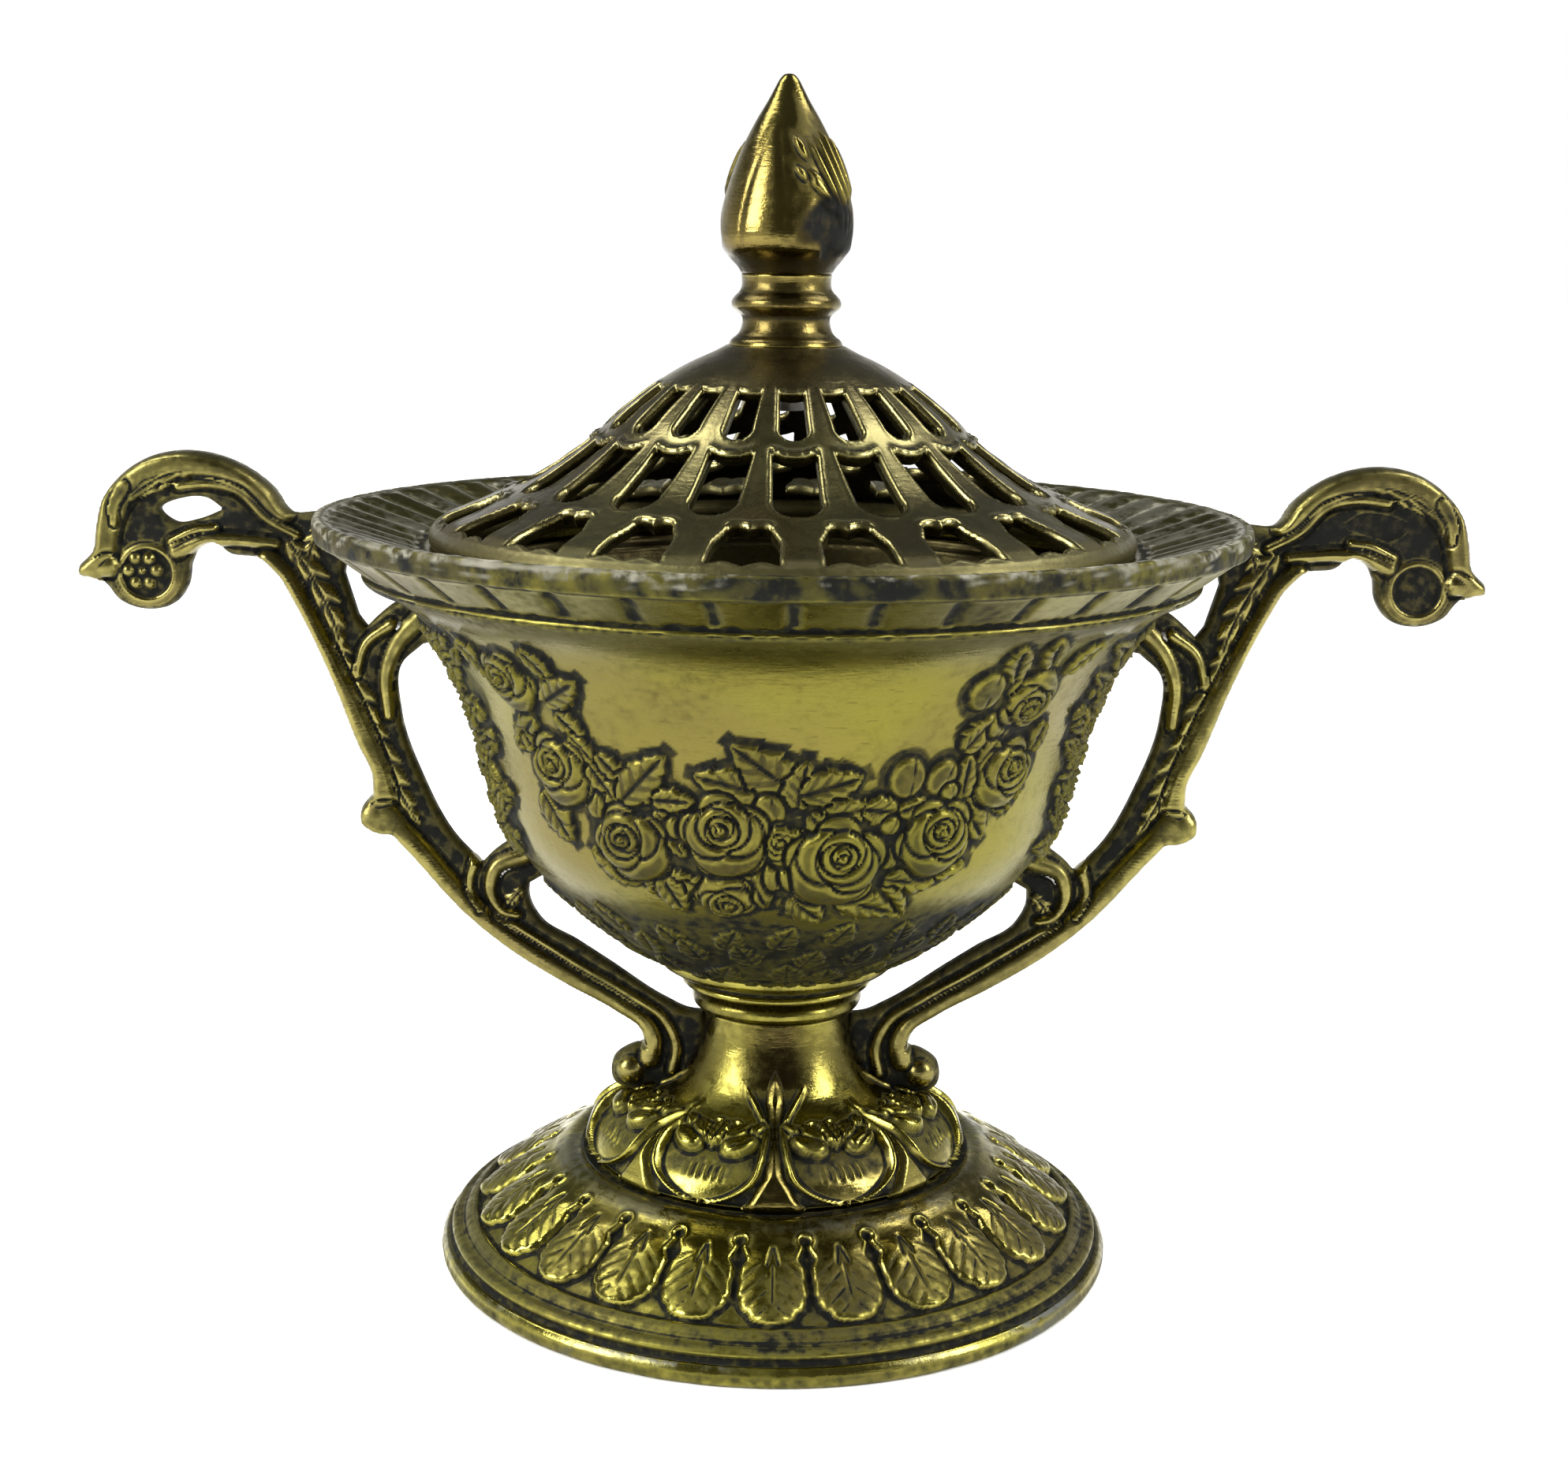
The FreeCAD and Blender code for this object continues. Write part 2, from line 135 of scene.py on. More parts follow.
class Turned:
    """A surface of revolution: a grid of profile points by azimuths, with a relief height."""

    def __init__(self, profile, columns, closed=True):
        self.profile = profile[:-1] if closed else profile
        self.closed = closed
        self.columns = columns
        self.azimuth = np.arange(columns) * TURN / columns
        if closed:
            steps = np.roll(self.profile, -1, 0) - np.roll(self.profile, 1, 0)
        else:
            steps = np.gradient(self.profile, axis=0)
        steps = steps / np.maximum(np.linalg.norm(steps, axis=1), 1e-9)[:, None]
        self.normal = np.stack([steps[:, 1], -steps[:, 0]], 1)
        jumps = np.linalg.norm(np.diff(self.profile, axis=0), axis=1)
        self.length = np.concatenate([[0], np.cumsum(jumps)])
        self.height = np.zeros((len(self.profile), columns))
        self.nearest = np.full(self.height.shape, FAR)
        self.line = np.zeros(self.height.shape)
        self.radius = self.profile[:, :1]
        self.level = self.profile[:, 1:]

    def row_at(self, radius, level):
        """The row nearest to a profile point."""
        return int(np.argmin(np.hypot(self.profile[:, 0] - radius, self.profile[:, 1] - level)))

    def stamp(self, azimuth, place, turn, shape, moat=0.3):
        """Lays a shape on the relief, and cuts a moat round it into what lies there already."""
        row = self.row_at(*place)
        rows = np.abs(self.length - self.length[row]) < MOTIF_REACH
        swing = swing_from(self.azimuth, math.radians(azimuth))
        columns = np.abs(swing) * self.profile[row, 0] < MOTIF_REACH
        area = np.ix_(rows, columns)
        across = self.profile[rows, :1] * swing[None, columns]
        along = (self.length[rows] - self.length[row])[:, None] + 0 * across
        c, s = math.cos(math.radians(turn)), math.sin(math.radians(turn))
        distance, height = shape(across * c + along * s, along * c - across * s)
        under = self.height[area] * smoothstep(0, moat, distance)
        self.height[area] = np.where(distance < 0, height, under)
        self.nearest[area] = np.minimum(self.nearest[area], distance)
        drawn = ridge(distance, LINE_WIDTH)
        self.line[area] = np.where(distance < 0, drawn, np.maximum(self.line[area], drawn))

    def lay(self, start, end, shape_of, moat=0.3):
        """Stamps a shape made for its length between two (azimuth, radius, level) places."""
        rise = self.length[self.row_at(*end[1:])] - self.length[self.row_at(*start[1:])]
        radius = (start[1] + end[1]) / 2
        sideways = math.radians(end[0] - start[0]) * radius
        middle = ((start[1] + end[1]) / 2, (start[2] + end[2]) / 2)
        turn = math.degrees(math.atan2(-sideways, rise))
        shape = shape_of(math.hypot(sideways, rise))
        self.stamp((start[0] + end[0]) / 2, middle, turn, shape, moat)

    def points(self):
        radius = self.radius + self.height * self.normal[:, :1]
        level = self.level + self.height * self.normal[:, 1:]
        return round_points(radius, self.azimuth, level)

    def faces(self):
        rows = len(self.profile)
        last = rows if self.closed else rows - 1
        i, j = np.meshgrid(np.arange(last), np.arange(self.columns), indexing="ij")
        up, side = (i + 1) % rows, (j + 1) % self.columns
        n = self.columns
        return np.stack([i * n + j, i * n + side, up * n + side, up * n + j], -1).reshape(-1, 4)

    def cast(self, name, body, slot, material, node, **marks):
        """Makes the piece that stands for a CAD node."""
        make_piece(name, self.points(), self.faces(), body, slot, material, node, **marks)


# ---------------------------------------------------------------- meshes


# Marks carried by each piece; the sooty and the brown ones also hold painted shade in places
MARKS = ("worn", "soot", "brown")
# Rounds of smoothing for the slightly and for the widely smoothed surface
SMOOTHINGS = (5, 55)


def depths(points, faces):
    """How far each point stands out from a slightly and from a widely smoothed surface."""
    corners = np.asarray(faces)
    pairs = np.vstack([corners[:, [k, (k + 1) % corners.shape[1]]] for k in range(corners.shape[1])])
    pairs = np.vstack([pairs, pairs[:, ::-1]])
    near, far = pairs[:, 0], pairs[:, 1]
    share = np.maximum(np.bincount(near, minlength=len(points)), 1)[:, None]
    normals = np.zeros_like(points)
    a, b, c = points[corners[:, 0]], points[corners[:, 1]], points[corners[:, 2]]
    flat = np.cross(b - a, c - a)
    for axis in range(3):
        for k in range(corners.shape[1]):
            normals[:, axis] += np.bincount(corners[:, k], flat[:, axis], len(points))
    normals /= np.maximum(np.linalg.norm(normals, axis=1), 1e-12)[:, None]
    soft, found = points.copy(), []
    for rounds in SMOOTHINGS:
        for _ in range(rounds):
            around = [np.bincount(near, soft[far, axis], len(points)) for axis in range(3)]
            soft = 0.4 * soft + 0.6 * np.stack(around, 1) / share
        found.append(np.einsum("ij,ij->i", points - soft, normals))
    return found


def open_edges(quads, count):
    """The edges that only one of the quads uses, of a sheet with count points."""
    edges = np.vstack([quads[:, [k, (k + 1) % 4]] for k in range(4)])
    keys = np.sort(edges, 1)
    code = keys[:, 0].astype(np.int64) * count + keys[:, 1]
    _, first, uses = np.unique(code, return_index=True, return_counts=True)
    return edges[first[uses == 1]]


def walls_along(edges, count):
    """Walls from edges of a sheet to those of its copy, whose points come count later."""
    return np.stack([edges[:, 1], edges[:, 0], edges[:, 0] + count, edges[:, 1] + count], 1)


def cells_round(solid, wrapped):
    """How many solid cells meet at each point of a grid, which may be wrapped sideways."""
    rows, columns = solid.shape
    meeting = np.zeros((rows + 1, columns + (not wrapped)), int)
    for up in (0, 1):
        for side in (0, 1):
            if wrapped:
                meeting[up:rows + up] += np.roll(solid, side, 1)
            else:
                meeting[up:rows + up, side:columns + side] += solid
    return meeting


def make_piece(name, points, faces, body, slot, material, node, **marks):
    """A smooth-shaded mesh piece that rides on a body and stands for a CAD node.

    It carries its depths, and its marks: where it is worn, sooty or brown. In places the sooty and the
    brown marks are painted shade rather than dirt or tarnish.
    """
    mesh = bpy.data.meshes.new(name)
    mesh.from_pydata((points * MM).tolist(), [], np.asarray(faces).tolist())
    mesh.polygons.foreach_set("use_smooth", [True] * len(mesh.polygons))
    fine, broad = depths(points, faces)
    layers = {"fine": fine, "broad": broad, **{key: 0 * fine for key in MARKS}, **marks}
    for key, values in layers.items():
        layer = mesh.attributes.new(key, "FLOAT", "POINT")
        layer.data.foreach_set("value", np.asarray(values, np.float32).ravel())
    mesh.materials.append(material)
    piece = bpy.data.objects.new(name, mesh)
    bpy.context.collection.objects.link(piece)
    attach(piece, body)
    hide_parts(node)


# ---------------------------------------------------------------- materials


class Nodes:
    """Short ways to add and link shader nodes."""

    def __init__(self, name):
        self.material = bpy.data.materials.new(name)
        self.material.use_nodes = True
        self.tree = self.material.node_tree
        self.shader = self.tree.nodes["Principled BSDF"]
        self.place = self.add("ShaderNodeTexCoord").outputs["Object"]

    def add(self, kind, **settings):
        node = self.tree.nodes.new(kind)
        for key, value in settings.items():
            setattr(node, key, value)
        return node

    def put(self, socket, value):
        if isinstance(value, bpy.types.NodeSocket):
            self.tree.links.new(value, socket)
        else:
            socket.default_value = value

    def math(self, operation, first, second, clamp=False):
        node = self.add("ShaderNodeMath", operation=operation, use_clamp=clamp)
        self.put(node.inputs[0], first)
        self.put(node.inputs[1], second)
        return node.outputs[0]

    def ramp(self, value, low, high, to_low=0.0, to_high=1.0):
        node = self.add("ShaderNodeMapRange", interpolation_type="SMOOTHSTEP")
        for socket, number in zip(node.inputs, (value, low, high, to_low, to_high)):
            self.put(socket, number)
        return node.outputs[0]

    def attribute(self, name):
        return self.add("ShaderNodeAttribute", attribute_name=name).outputs["Fac"]

    def noise(self, scale, detail, stretch=(1, 1, 1)):
        mapping = self.add("ShaderNodeMapping")
        mapping.inputs["Scale"].default_value = stretch
        self.put(mapping.inputs["Vector"], self.place)
        node = self.add("ShaderNodeTexNoise")
        self.put(node.inputs["Vector"], mapping.outputs[0])
        node.inputs["Scale"].default_value = scale
        node.inputs["Detail"].default_value = detail
        return node.outputs["Fac"]

    def mix(self, share, first, second):
        node = self.add("ShaderNodeMix", data_type="RGBA")
        self.put(node.inputs[0], share)
        self.put(node.inputs[6], (*first, 1) if isinstance(first, tuple) else first)
        self.put(node.inputs[7], (*second, 1) if isinstance(second, tuple) else second)
        return node.outputs[2]

    def roughen(self, height, distance, strength):
        bump = self.add("ShaderNodeBump")
        bump.inputs["Distance"].default_value = distance
        bump.inputs["Strength"].default_value = strength
        self.put(bump.inputs["Height"], height)
        self.put(self.shader.inputs["Normal"], bump.outputs[0])


PATINA = (0.0062, 0.0066, 0.0052)
BROWN = (0.062, 0.044, 0.016)
PEWTER = (0.150, 0.155, 0.145)
DUST = (0.225, 0.215, 0.165)


def aged_brass(name, bright, warm, polish, grime, bare=PEWTER):
    """Cast brass: polished high points, blotchy tarnish, dark patina wherever it lies low, and the soot and
    painted shade marked on each piece.

    It clouds from a bright to a warm tone, and shows the bare colour where it is worn. Polish is the
    roughness of the clean metal, and grime says how much of it is stained.
    """
    nodes = Nodes("aged_brass_" + name)
    fine, broad, worn, soot, brown = (nodes.attribute(key) for key in ("fine", "broad", *MARKS))
    blotch = nodes.noise(90, 5)
    cloud = nodes.noise(34, 3)
    speckle = nodes.noise(900, 4)
    grain = nodes.noise(3200, 2)
    scratch = nodes.noise(420, 2, (1, 1, 9))
    low_fine = nodes.ramp(fine, -0.05, 0.008, 1.0, 0.0)
    low_broad = nodes.ramp(broad, -0.40, -0.02, 1.0, 0.0)
    low = nodes.math("MAXIMUM", low_fine, nodes.math("MULTIPLY", low_broad, 0.85))
    crest = nodes.ramp(fine, 0.012, 0.07, 0.0, 1.0)
    # The piece's mark of soot and painted shade darkens the metal here, blotchily
    laid = nodes.math("MULTIPLY", soot, nodes.ramp(blotch, 0.3, 0.6, 1.15, 0.8))
    laid = nodes.math("SUBTRACT", laid, nodes.math("MULTIPLY", crest, 0.28), clamp=True)
    low = nodes.math("MAXIMUM", low, laid)
    unevenness = nodes.math("MULTIPLY", blotch, 0.6)
    unevenness = nodes.math("ADD", unevenness, nodes.math("MULTIPLY", speckle, 0.5))
    stain = nodes.ramp(nodes.math("ADD", unevenness, grime - 0.5), 0.52, 0.86)
    patina = nodes.math("ADD", low, nodes.math("MULTIPLY", stain, 0.45), clamp=True)
    patina = nodes.math("MULTIPLY", patina, nodes.ramp(speckle, 0.2, 0.55, 0.84, 1.0), clamp=True)
    metal = nodes.mix(nodes.ramp(cloud, 0.38, 0.64), bright, warm)
    rubbed = tuple(1.35 * channel for channel in bright)
    metal = nodes.mix(nodes.math("MULTIPLY", crest, 0.4), metal, rubbed)
    metal = nodes.mix(nodes.ramp(scratch, 0.66, 0.74, 0.0, 0.5), metal, tuple(c * 0.45 for c in warm))
    metal = nodes.mix(brown, metal, BROWN)
    colour = nodes.mix(patina, metal, PATINA)
    bare_share = nodes.math("MULTIPLY", worn, nodes.ramp(unevenness, 0.46, 0.62), clamp=True)
    colour = nodes.mix(bare_share, colour, bare)
    nodes.put(nodes.shader.inputs["Base Color"], colour)
    nodes.put(nodes.shader.inputs["Metallic"], nodes.ramp(patina, 0.5, 1.0, 1.0, 0.2))
    rough = nodes.ramp(patina, 0.0, 1.0, polish, 0.64)
    rough = nodes.math("ADD", rough, nodes.math("MULTIPLY", nodes.math("SUBTRACT", blotch, 0.5), 0.3))
    rough = nodes.math("ADD", rough, nodes.math("MULTIPLY", nodes.math("SUBTRACT", speckle, 0.5), 0.14))
    rough = nodes.math("ADD", rough, nodes.math("MULTIPLY", bare_share, 0.2), clamp=True)
    nodes.put(nodes.shader.inputs["Roughness"], rough)
    nodes.shader.inputs["Specular IOR Level"].default_value = 0.1
    surface = nodes.math("ADD", nodes.math("MULTIPLY", grain, 0.5), nodes.math("MULTIPLY", speckle, 1.2))
    surface = nodes.math("ADD", surface, nodes.math("MULTIPLY", scratch, 0.8))
    nodes.roughen(surface, 0.06 * MM, 0.5)
    return nodes.material


def plain_metal(name, light, dull, rough):
    """Turned or plated hardware: a dull metal with fine turning marks and light staining."""
    nodes = Nodes(name)
    marks = nodes.noise(1400, 2, (1, 1, 6))
    stain = nodes.noise(160, 5)
    nodes.put(nodes.shader.inputs["Base Color"], nodes.mix(nodes.ramp(stain, 0.35, 0.7), light, dull))
    nodes.shader.inputs["Metallic"].default_value = 1.0
    nodes.put(nodes.shader.inputs["Roughness"], nodes.ramp(stain, 0.3, 0.7, rough, rough + 0.25))
    nodes.roughen(marks, 0.03 * MM, 0.4)
    return nodes.material


BODY_BRASS = aged_brass("body", (0.192, 0.171, 0.028), (0.162, 0.134, 0.034), 0.28, 0.5)
RIM_BRASS = aged_brass("rim", (0.200, 0.178, 0.036), (0.168, 0.140, 0.040), 0.28, 0.5, DUST)
FOOT_BRASS = aged_brass("foot", (0.335, 0.300, 0.056), (0.242, 0.200, 0.056), 0.17, 0.58)
LID_BRASS = aged_brass("lid", (0.235, 0.210, 0.084), (0.180, 0.148, 0.066), 0.27, 0.46)
FINIAL_BRASS = aged_brass("finial", (0.280, 0.235, 0.052), (0.195, 0.150, 0.044), 0.2, 0.54)
HANDLE_BRASS = aged_brass("handle", (0.235, 0.205, 0.060), (0.165, 0.135, 0.048), 0.26, 0.62)
PAN_BRASS = aged_brass("pan", (0.110, 0.090, 0.035), (0.070, 0.055, 0.025), 0.36, 0.62)
STEEL = plain_metal("plain_steel", (0.42, 0.41, 0.39), (0.26, 0.24, 0.21), 0.32)


# ---------------------------------------------------------------- motifs


def rose(size, twist=0.0):
    """A full rose in low relief: lobed outer petals, a broad belly petal and a coiled heart."""
    petals = []
    for step in range(5):
        angle = TURN * step / 5 + twist
        petals.append((0.56 * math.cos(angle), 0.60 * math.sin(angle), 0.46, 0.35, 0.25))
    petals.append((0.0, -0.16, 0.80, 0.45, 0.62))
    petals.append((0.30, 0.06, 0.52, 0.62, 0.42))
    petals.append((-0.26, 0.12, 0.54, 0.66, 0.42))
    golden = math.radians(137.5)
    for step, radius in enumerate((0.53, 0.43, 0.34, 0.255, 0.175, 0.10)):
        angle = twist + golden * step
        drift = 0.17 * radius
        centre = (drift * math.cos(angle), 0.24 + drift * math.sin(angle))
        petals.append((*centre, radius, 0.72 + 0.05 * step, 0.30))

    def shape(across, along):
        x, y = across / size, along / size
        distance = np.full(x.shape, FAR)
        height = np.zeros(x.shape)
        for centre_x, centre_y, radius, base, dome in petals:
            reach = np.hypot(x - centre_x, y - centre_y)
            away = (reach - radius) * size
            crown = base + dome * np.sqrt(np.clip(1 - (reach / radius) ** 2, 0, 1))
            edge = smoothstep(0, -0.22, away)
            cut = height - 0.34 * ridge(away, 0.17)
            height = np.where(away < 0, crown * (0.72 + 0.28 * edge), cut)
            distance = np.minimum(distance, away)
        swell = 0.42 + 0.75 * np.sqrt(np.clip(1 - (x**2 + y**2) / 1.25, 0, 1))
        height = np.clip(height, 0, None) * swell * (size / 3.2) ** 0.5
        return distance, height * smoothstep(0, -0.3, distance)

    return shape


def leaf(length, width, tall=0.55, teeth=4, ribs=0.2):
    """A pointed leaf with a midrib and side veins, its middle at the origin, its tip along."""

    def shape(across, along):
        t = np.clip(along / length + 0.5, 1e-4, 1)
        tooth = (t * teeth) % 1
        half = width / 2 * np.sin(math.pi * t**0.75) ** 0.75 * (0.86 + 0.24 * (1 - tooth))
        beyond = np.abs(along) - length / 2
        distance = np.maximum(np.abs(across) - half, beyond)
        fold = np.clip(np.abs(across) / np.maximum(half, 0.05), 0, 1)
        height = tall * (0.62 + 0.38 * np.sin(math.pi * np.clip(fold, 0, 1)) + 0.15 * t)
        height = height - 1.5 * ribs * tall * ridge(across, 0.2)
        slant = (t * length - 0.9 * np.abs(across)) / length * 4.5
        height = height - ribs * tall * ridge(slant % 1 - 0.5, 0.2) * smoothstep(0.1, 0.4, np.abs(across))
        return distance, height * smoothstep(0, -0.28, distance)

    return shape


def bud(length, width, tall=0.6):
    """A smooth egg-shaped petal or bud, creased along its middle."""

    def shape(across, along):
        reach = np.hypot(across / (width / 2), along / (length / 2))
        distance = (reach - 1) * min(width, length) / 2
        height = tall * (0.45 + 0.55 * np.sqrt(np.clip(1 - reach**2, 0, 1)))
        crease = ridge(across - 0.12 * width, 0.14) * smoothstep(0.1, 0.5, reach)
        return distance, (height - 0.25 * tall * crease) * smoothstep(0, -0.3, distance)

    return shape


# ---------------------------------------------------------------- bowl

# The swag. Roses are (azimuth, level, size, turn); leaves and buds run from a foot to a tip,
# each an (azimuth, level), with their width. The last ones lie on top.
SWAG_ROSES = [
    (-46, 69.2, 3.9, 25), (-40.5, 60.2, 4.2, 15), (41.5, 68.6, 3.8, 160), (41.5, 60.6, 4.1, -25),
    (-10, 48.6, 3.2, 200), (1.0, 54.4, 2.6, 40), (-27, 53.6, 4.4, 40), (28.8, 54.4, 4.5, -10),
    (-9.4, 55.3, 4.7, 10), (10.2, 52.4, 5.2, -20),
]
SWAG_LEAVES = [
    (-39.0, 73.6, -35.5, 69.6, 2.6), (-39.5, 67.6, -31.0, 70.6, 3.4), (-38.0, 66.8, -33.0, 63.8, 2.6),
    (-43.5, 65.4, -51.0, 61.6, 3.0), (-36.5, 64.6, -31.5, 61.6, 2.2), (-33.5, 61.6, -28.5, 57.4, 3.4),
    (-31.5, 63.0, -26.0, 59.6, 2.2), (-28.0, 58.0, -18.5, 63.6, 3.8), (-22.0, 58.6, -14.0, 58.8, 2.6),
    (-46.5, 57.6, -40.5, 52.4, 3.8), (-36.0, 56.6, -31.0, 58.6, 2.2), (-21.5, 57.6, -16.5, 52.4, 2.6),
    (-26.0, 49.6, -36.5, 52.4, 3.4), (-26.0, 49.2, -15.0, 50.6, 3.6), (-2.0, 59.6, -14.5, 61.6, 3.8),
    (4.0, 59.4, -8.0, 65.2, 4.6), (3.0, 58.2, 4.5, 63.6, 3.4), (3.5, 59.6, 14.0, 61.8, 3.8),
    (7.0, 57.4, 17.0, 58.6, 3.2), (14.0, 58.2, 22.5, 57.4, 3.0), (20.5, 57.6, 26.5, 58.6, 2.4),
    (33.0, 58.4, 32.5, 63.4, 2.6), (31.0, 63.6, 36.0, 67.4, 3.2), (36.0, 70.6, 33.0, 75.0, 3.0),
    (42.5, 71.4, 38.0, 75.6, 2.8), (40.0, 57.4, 47.5, 58.6, 3.2), (33.0, 58.0, 39.5, 53.4, 3.6),
    (25.0, 51.4, 37.0, 51.2, 3.4), (19.5, 50.4, 31.0, 49.6, 3.2), (19.0, 49.6, 26.5, 45.6, 3.0),
    (11.0, 48.6, 24.0, 46.6, 3.6), (2.0, 48.8, 9.0, 45.8, 3.2), (-6.0, 52.4, -2.0, 47.6, 3.0),
    (-17.0, 50.2, -6.0, 46.8, 3.6), (-22.0, 50.6, -18.5, 46.4, 3.0), (5.0, 58.0, 9.0, 55.2, 2.2),
    (-14.5, 53.4, -17.0, 57.6, 2.4), (-55.0, 73.0, -50.0, 68.6, 3.2), (52.0, 74.0, 46.5, 70.6, 3.0),
    (48.5, 65.6, 46.0, 61.4, 2.6), (-47.5, 63.8, -44.5, 60.8, 2.2), (38.0, 64.2, 34.5, 61.6, 2.4),
]
SWAG_BUDS = [
    (21.5, 58.8, 21.5, 63.4, 3.4), (26.5, 59.0, 29.5, 62.8, 3.0), (31.5, 68.0, 32.0, 72.0, 3.6),
    (36.0, 64.4, 37.5, 67.4, 2.2), (30.5, 58.4, 29.5, 60.6, 1.9), (-0.8, 56.2, -2.2, 60.2, 2.8),
    (-1.0, 49.4, -0.5, 53.2, 2.0), (3.6, 49.2, 1.0, 52.6, 2.0), (-34.0, 55.4, -33.0, 58.6, 2.0),
    (18.5, 55.2, 20.5, 57.4, 1.9), (19.5, 51.4, 20.5, 54.0, 1.9), (-18.0, 54.4, -18.5, 57.0, 1.9),
]
# The hanging drop below each handle's upper branch: azimuth of its middle, and its levels
DROP_AZIMUTH = 69
DROP_LEVELS = (70.4, 66.6, 62.8, 59.2, 55.8, 52.6, 49.6)

RIM_GROOVES = 40
RIM_RIBS = 60
CALYX_ROWS = ((26, 44.4, 4.6, 3.6), (24, 41.6, 4.8, 3.8), (20, 38.6, 5.0, 4.2), (16, 36.2, 4.4, 4.2))
BOWL_COLUMNS = 900
SEAT_RADIUS = 36.9
SEAM_LEVEL = 76.5
SEAM_RADIUS = 44.2


def on_wall(azimuth, level):
    """The (azimuth, radius, level) of a place on the bare bowl."""
    levels = [34.3, 36.7, 40.6, 45.2, 50, 55, 61, 67.7, 73.6, SEAM_LEVEL]
    radii = [13.3, 17.7, 22.6, 27.2, 30.4, 31.9, 33.4, 36, 40, SEAM_RADIUS]
    return azimuth, float(np.interp(level, levels, radii)), level


def lay_swag(bowl, facing):
    """Leaves first, then buds and roses over them."""
    for motif, rows in ((leaf, SWAG_LEAVES), (bud, SWAG_BUDS)):
        for azimuth, level, tip_azimuth, tip_level, width in rows:
            start = on_wall(facing + azimuth, level)
            end = on_wall(facing + tip_azimuth, tip_level)
            bowl.lay(start, end, lambda length: motif(length, 1.18 * width, 0.72))
    for azimuth, level, size, turn in SWAG_ROSES:
        bowl.stamp(facing + azimuth, on_wall(azimuth, level)[1:], turn, rose(size, 0.03 * turn))


def lay_drop(bowl, middle, random):
    """A rough hanging string of small roses with a leaf on each side."""
    for step, level in enumerate(DROP_LEVELS):
        azimuth = middle + random.uniform(-1.5, 1.5)
        size = 2.7 - 0.14 * step
        for side in (-1, 1):
            start = on_wall(azimuth, level + 0.6)
            end = on_wall(azimuth + side * random.uniform(8, 10.5), level + random.uniform(0.5, 3.0))
            bowl.lay(start, end, lambda length: leaf(length, 2.8, 0.7, 3, 0.3))
        bowl.stamp(azimuth, on_wall(azimuth, level)[1:], random.uniform(-60, 60), rose(size, step))
    for _ in range(26):
        azimuth = middle + random.choice((-1, 1)) * random.uniform(4, 9.5)
        level = random.uniform(47.5, 73.5)
        length = random.uniform(2.4, 3.8)
        motif = leaf(length, 2.0, 0.8, 2, 0.35) if random.random() < 0.6 else bud(1.8, 1.5, 0.75)
        bowl.stamp(azimuth, on_wall(azimuth, level)[1:], random.uniform(-80, 80), motif)


def make_bowl():
    """Bowl with rose swags front and back, hanging drops at the sides and a calyx below."""
    profile = outline(
        (2.65, 34.3),
        ("line", 2.5, (13.3, 34.3)),
        ("curve", 0.27, (17.7, 36.7), (22.6, 40.6), (27.2, 45.2), (30.4, 50.0), (31.9, 55.0),
         (33.4, 61.0), (36.0, 67.7), (40.0, 73.6), (SEAM_RADIUS, SEAM_LEVEL)),
        ("line", 1.8, (SEAT_RADIUS, SEAM_LEVEL), (SEAT_RADIUS, 75.2), (35.2, 75.2), (35.2, 74.2)),
        ("curve", 1.2, (34.9, 70.5), (33.6, 66.5), (31.6, 60.5), (30.1, 54.5), (28.5, 50.0),
         (25.6, 46.1), (21.2, 42.0), (16.6, 38.7), (11.5, 36.0)),
        ("line", 1.8, (2.65, 36.0), (2.65, 34.3)),
    )
    bowl = Turned(profile, BOWL_COLUMNS)
    random = np.random.default_rng(21)
    for row, (count, level, length, width) in enumerate(CALYX_ROWS):
        for step in range(count):
            azimuth = 360 / count * (step + row / 2 + random.uniform(-0.2, 0.2))
            place = on_wall(azimuth, level - length / 3 + random.uniform(-0.5, 0.7))[1:]
            size = random.uniform(0.85, 1.2)
            bowl.stamp(azimuth, place, random.uniform(-28, 28), leaf(size * length, width, 0.36, 3, 0.3))
    bowl.nearest[:] = FAR
    bowl.line *= 0.6
    for middle in (DROP_AZIMUTH, -DROP_AZIMUTH, 180 - DROP_AZIMUTH, 180 + DROP_AZIMUTH):
        lay_drop(bowl, middle, random)
    for facing in (0, 180):
        lay_swag(bowl, facing)
    # Dark ground between and just round the motifs
    azimuth, level = bowl.azimuth[None, :], bowl.level
    wall = bowl.normal[:, :1] > 0.3
    wander = 0.25 * round_ripples(31, azimuth, 33, level, scale=1.3)
    between = smoothstep(-0.3, 0.0, bowl.nearest)
    ground = smoothstep(1.0, 0.65, bowl.nearest + wander) * between
    swing = np.degrees(np.abs(swing_from(azimuth, 0)))
    from_drop = np.minimum(np.abs(swing - DROP_AZIMUTH), np.abs(swing - 180 + DROP_AZIMUTH))
    fray = round_ripples(32, azimuth, 33, level, scale=1.5)
    drops = smoothstep(10.5, 7.5, from_drop + 3.5 * fray) * smoothstep(46.5, 48.5, level + fray)
    under_seam = smoothstep(74.4, 76.2, level + 0.35 * round_ripples(5, azimuth, 6, scale=1.0))
    calyx = smoothstep(47.5, 44.0, level + 0.6 * round_ripples(6, azimuth, 12, scale=1.5))
    motifs = 0.74 * smoothstep(0.1, -0.2, bowl.nearest)
    soot = strongest(bowl.height, ground, motifs, 1.05 * bowl.line, 0.85 * drops, 0.7 * under_seam, calyx)
    soot = soot * wall + 0.9 * ~wall
    bowl.cast("bowl_casting", "vessel", "brass_body", BODY_BRASS, "bowl", soot=soot)


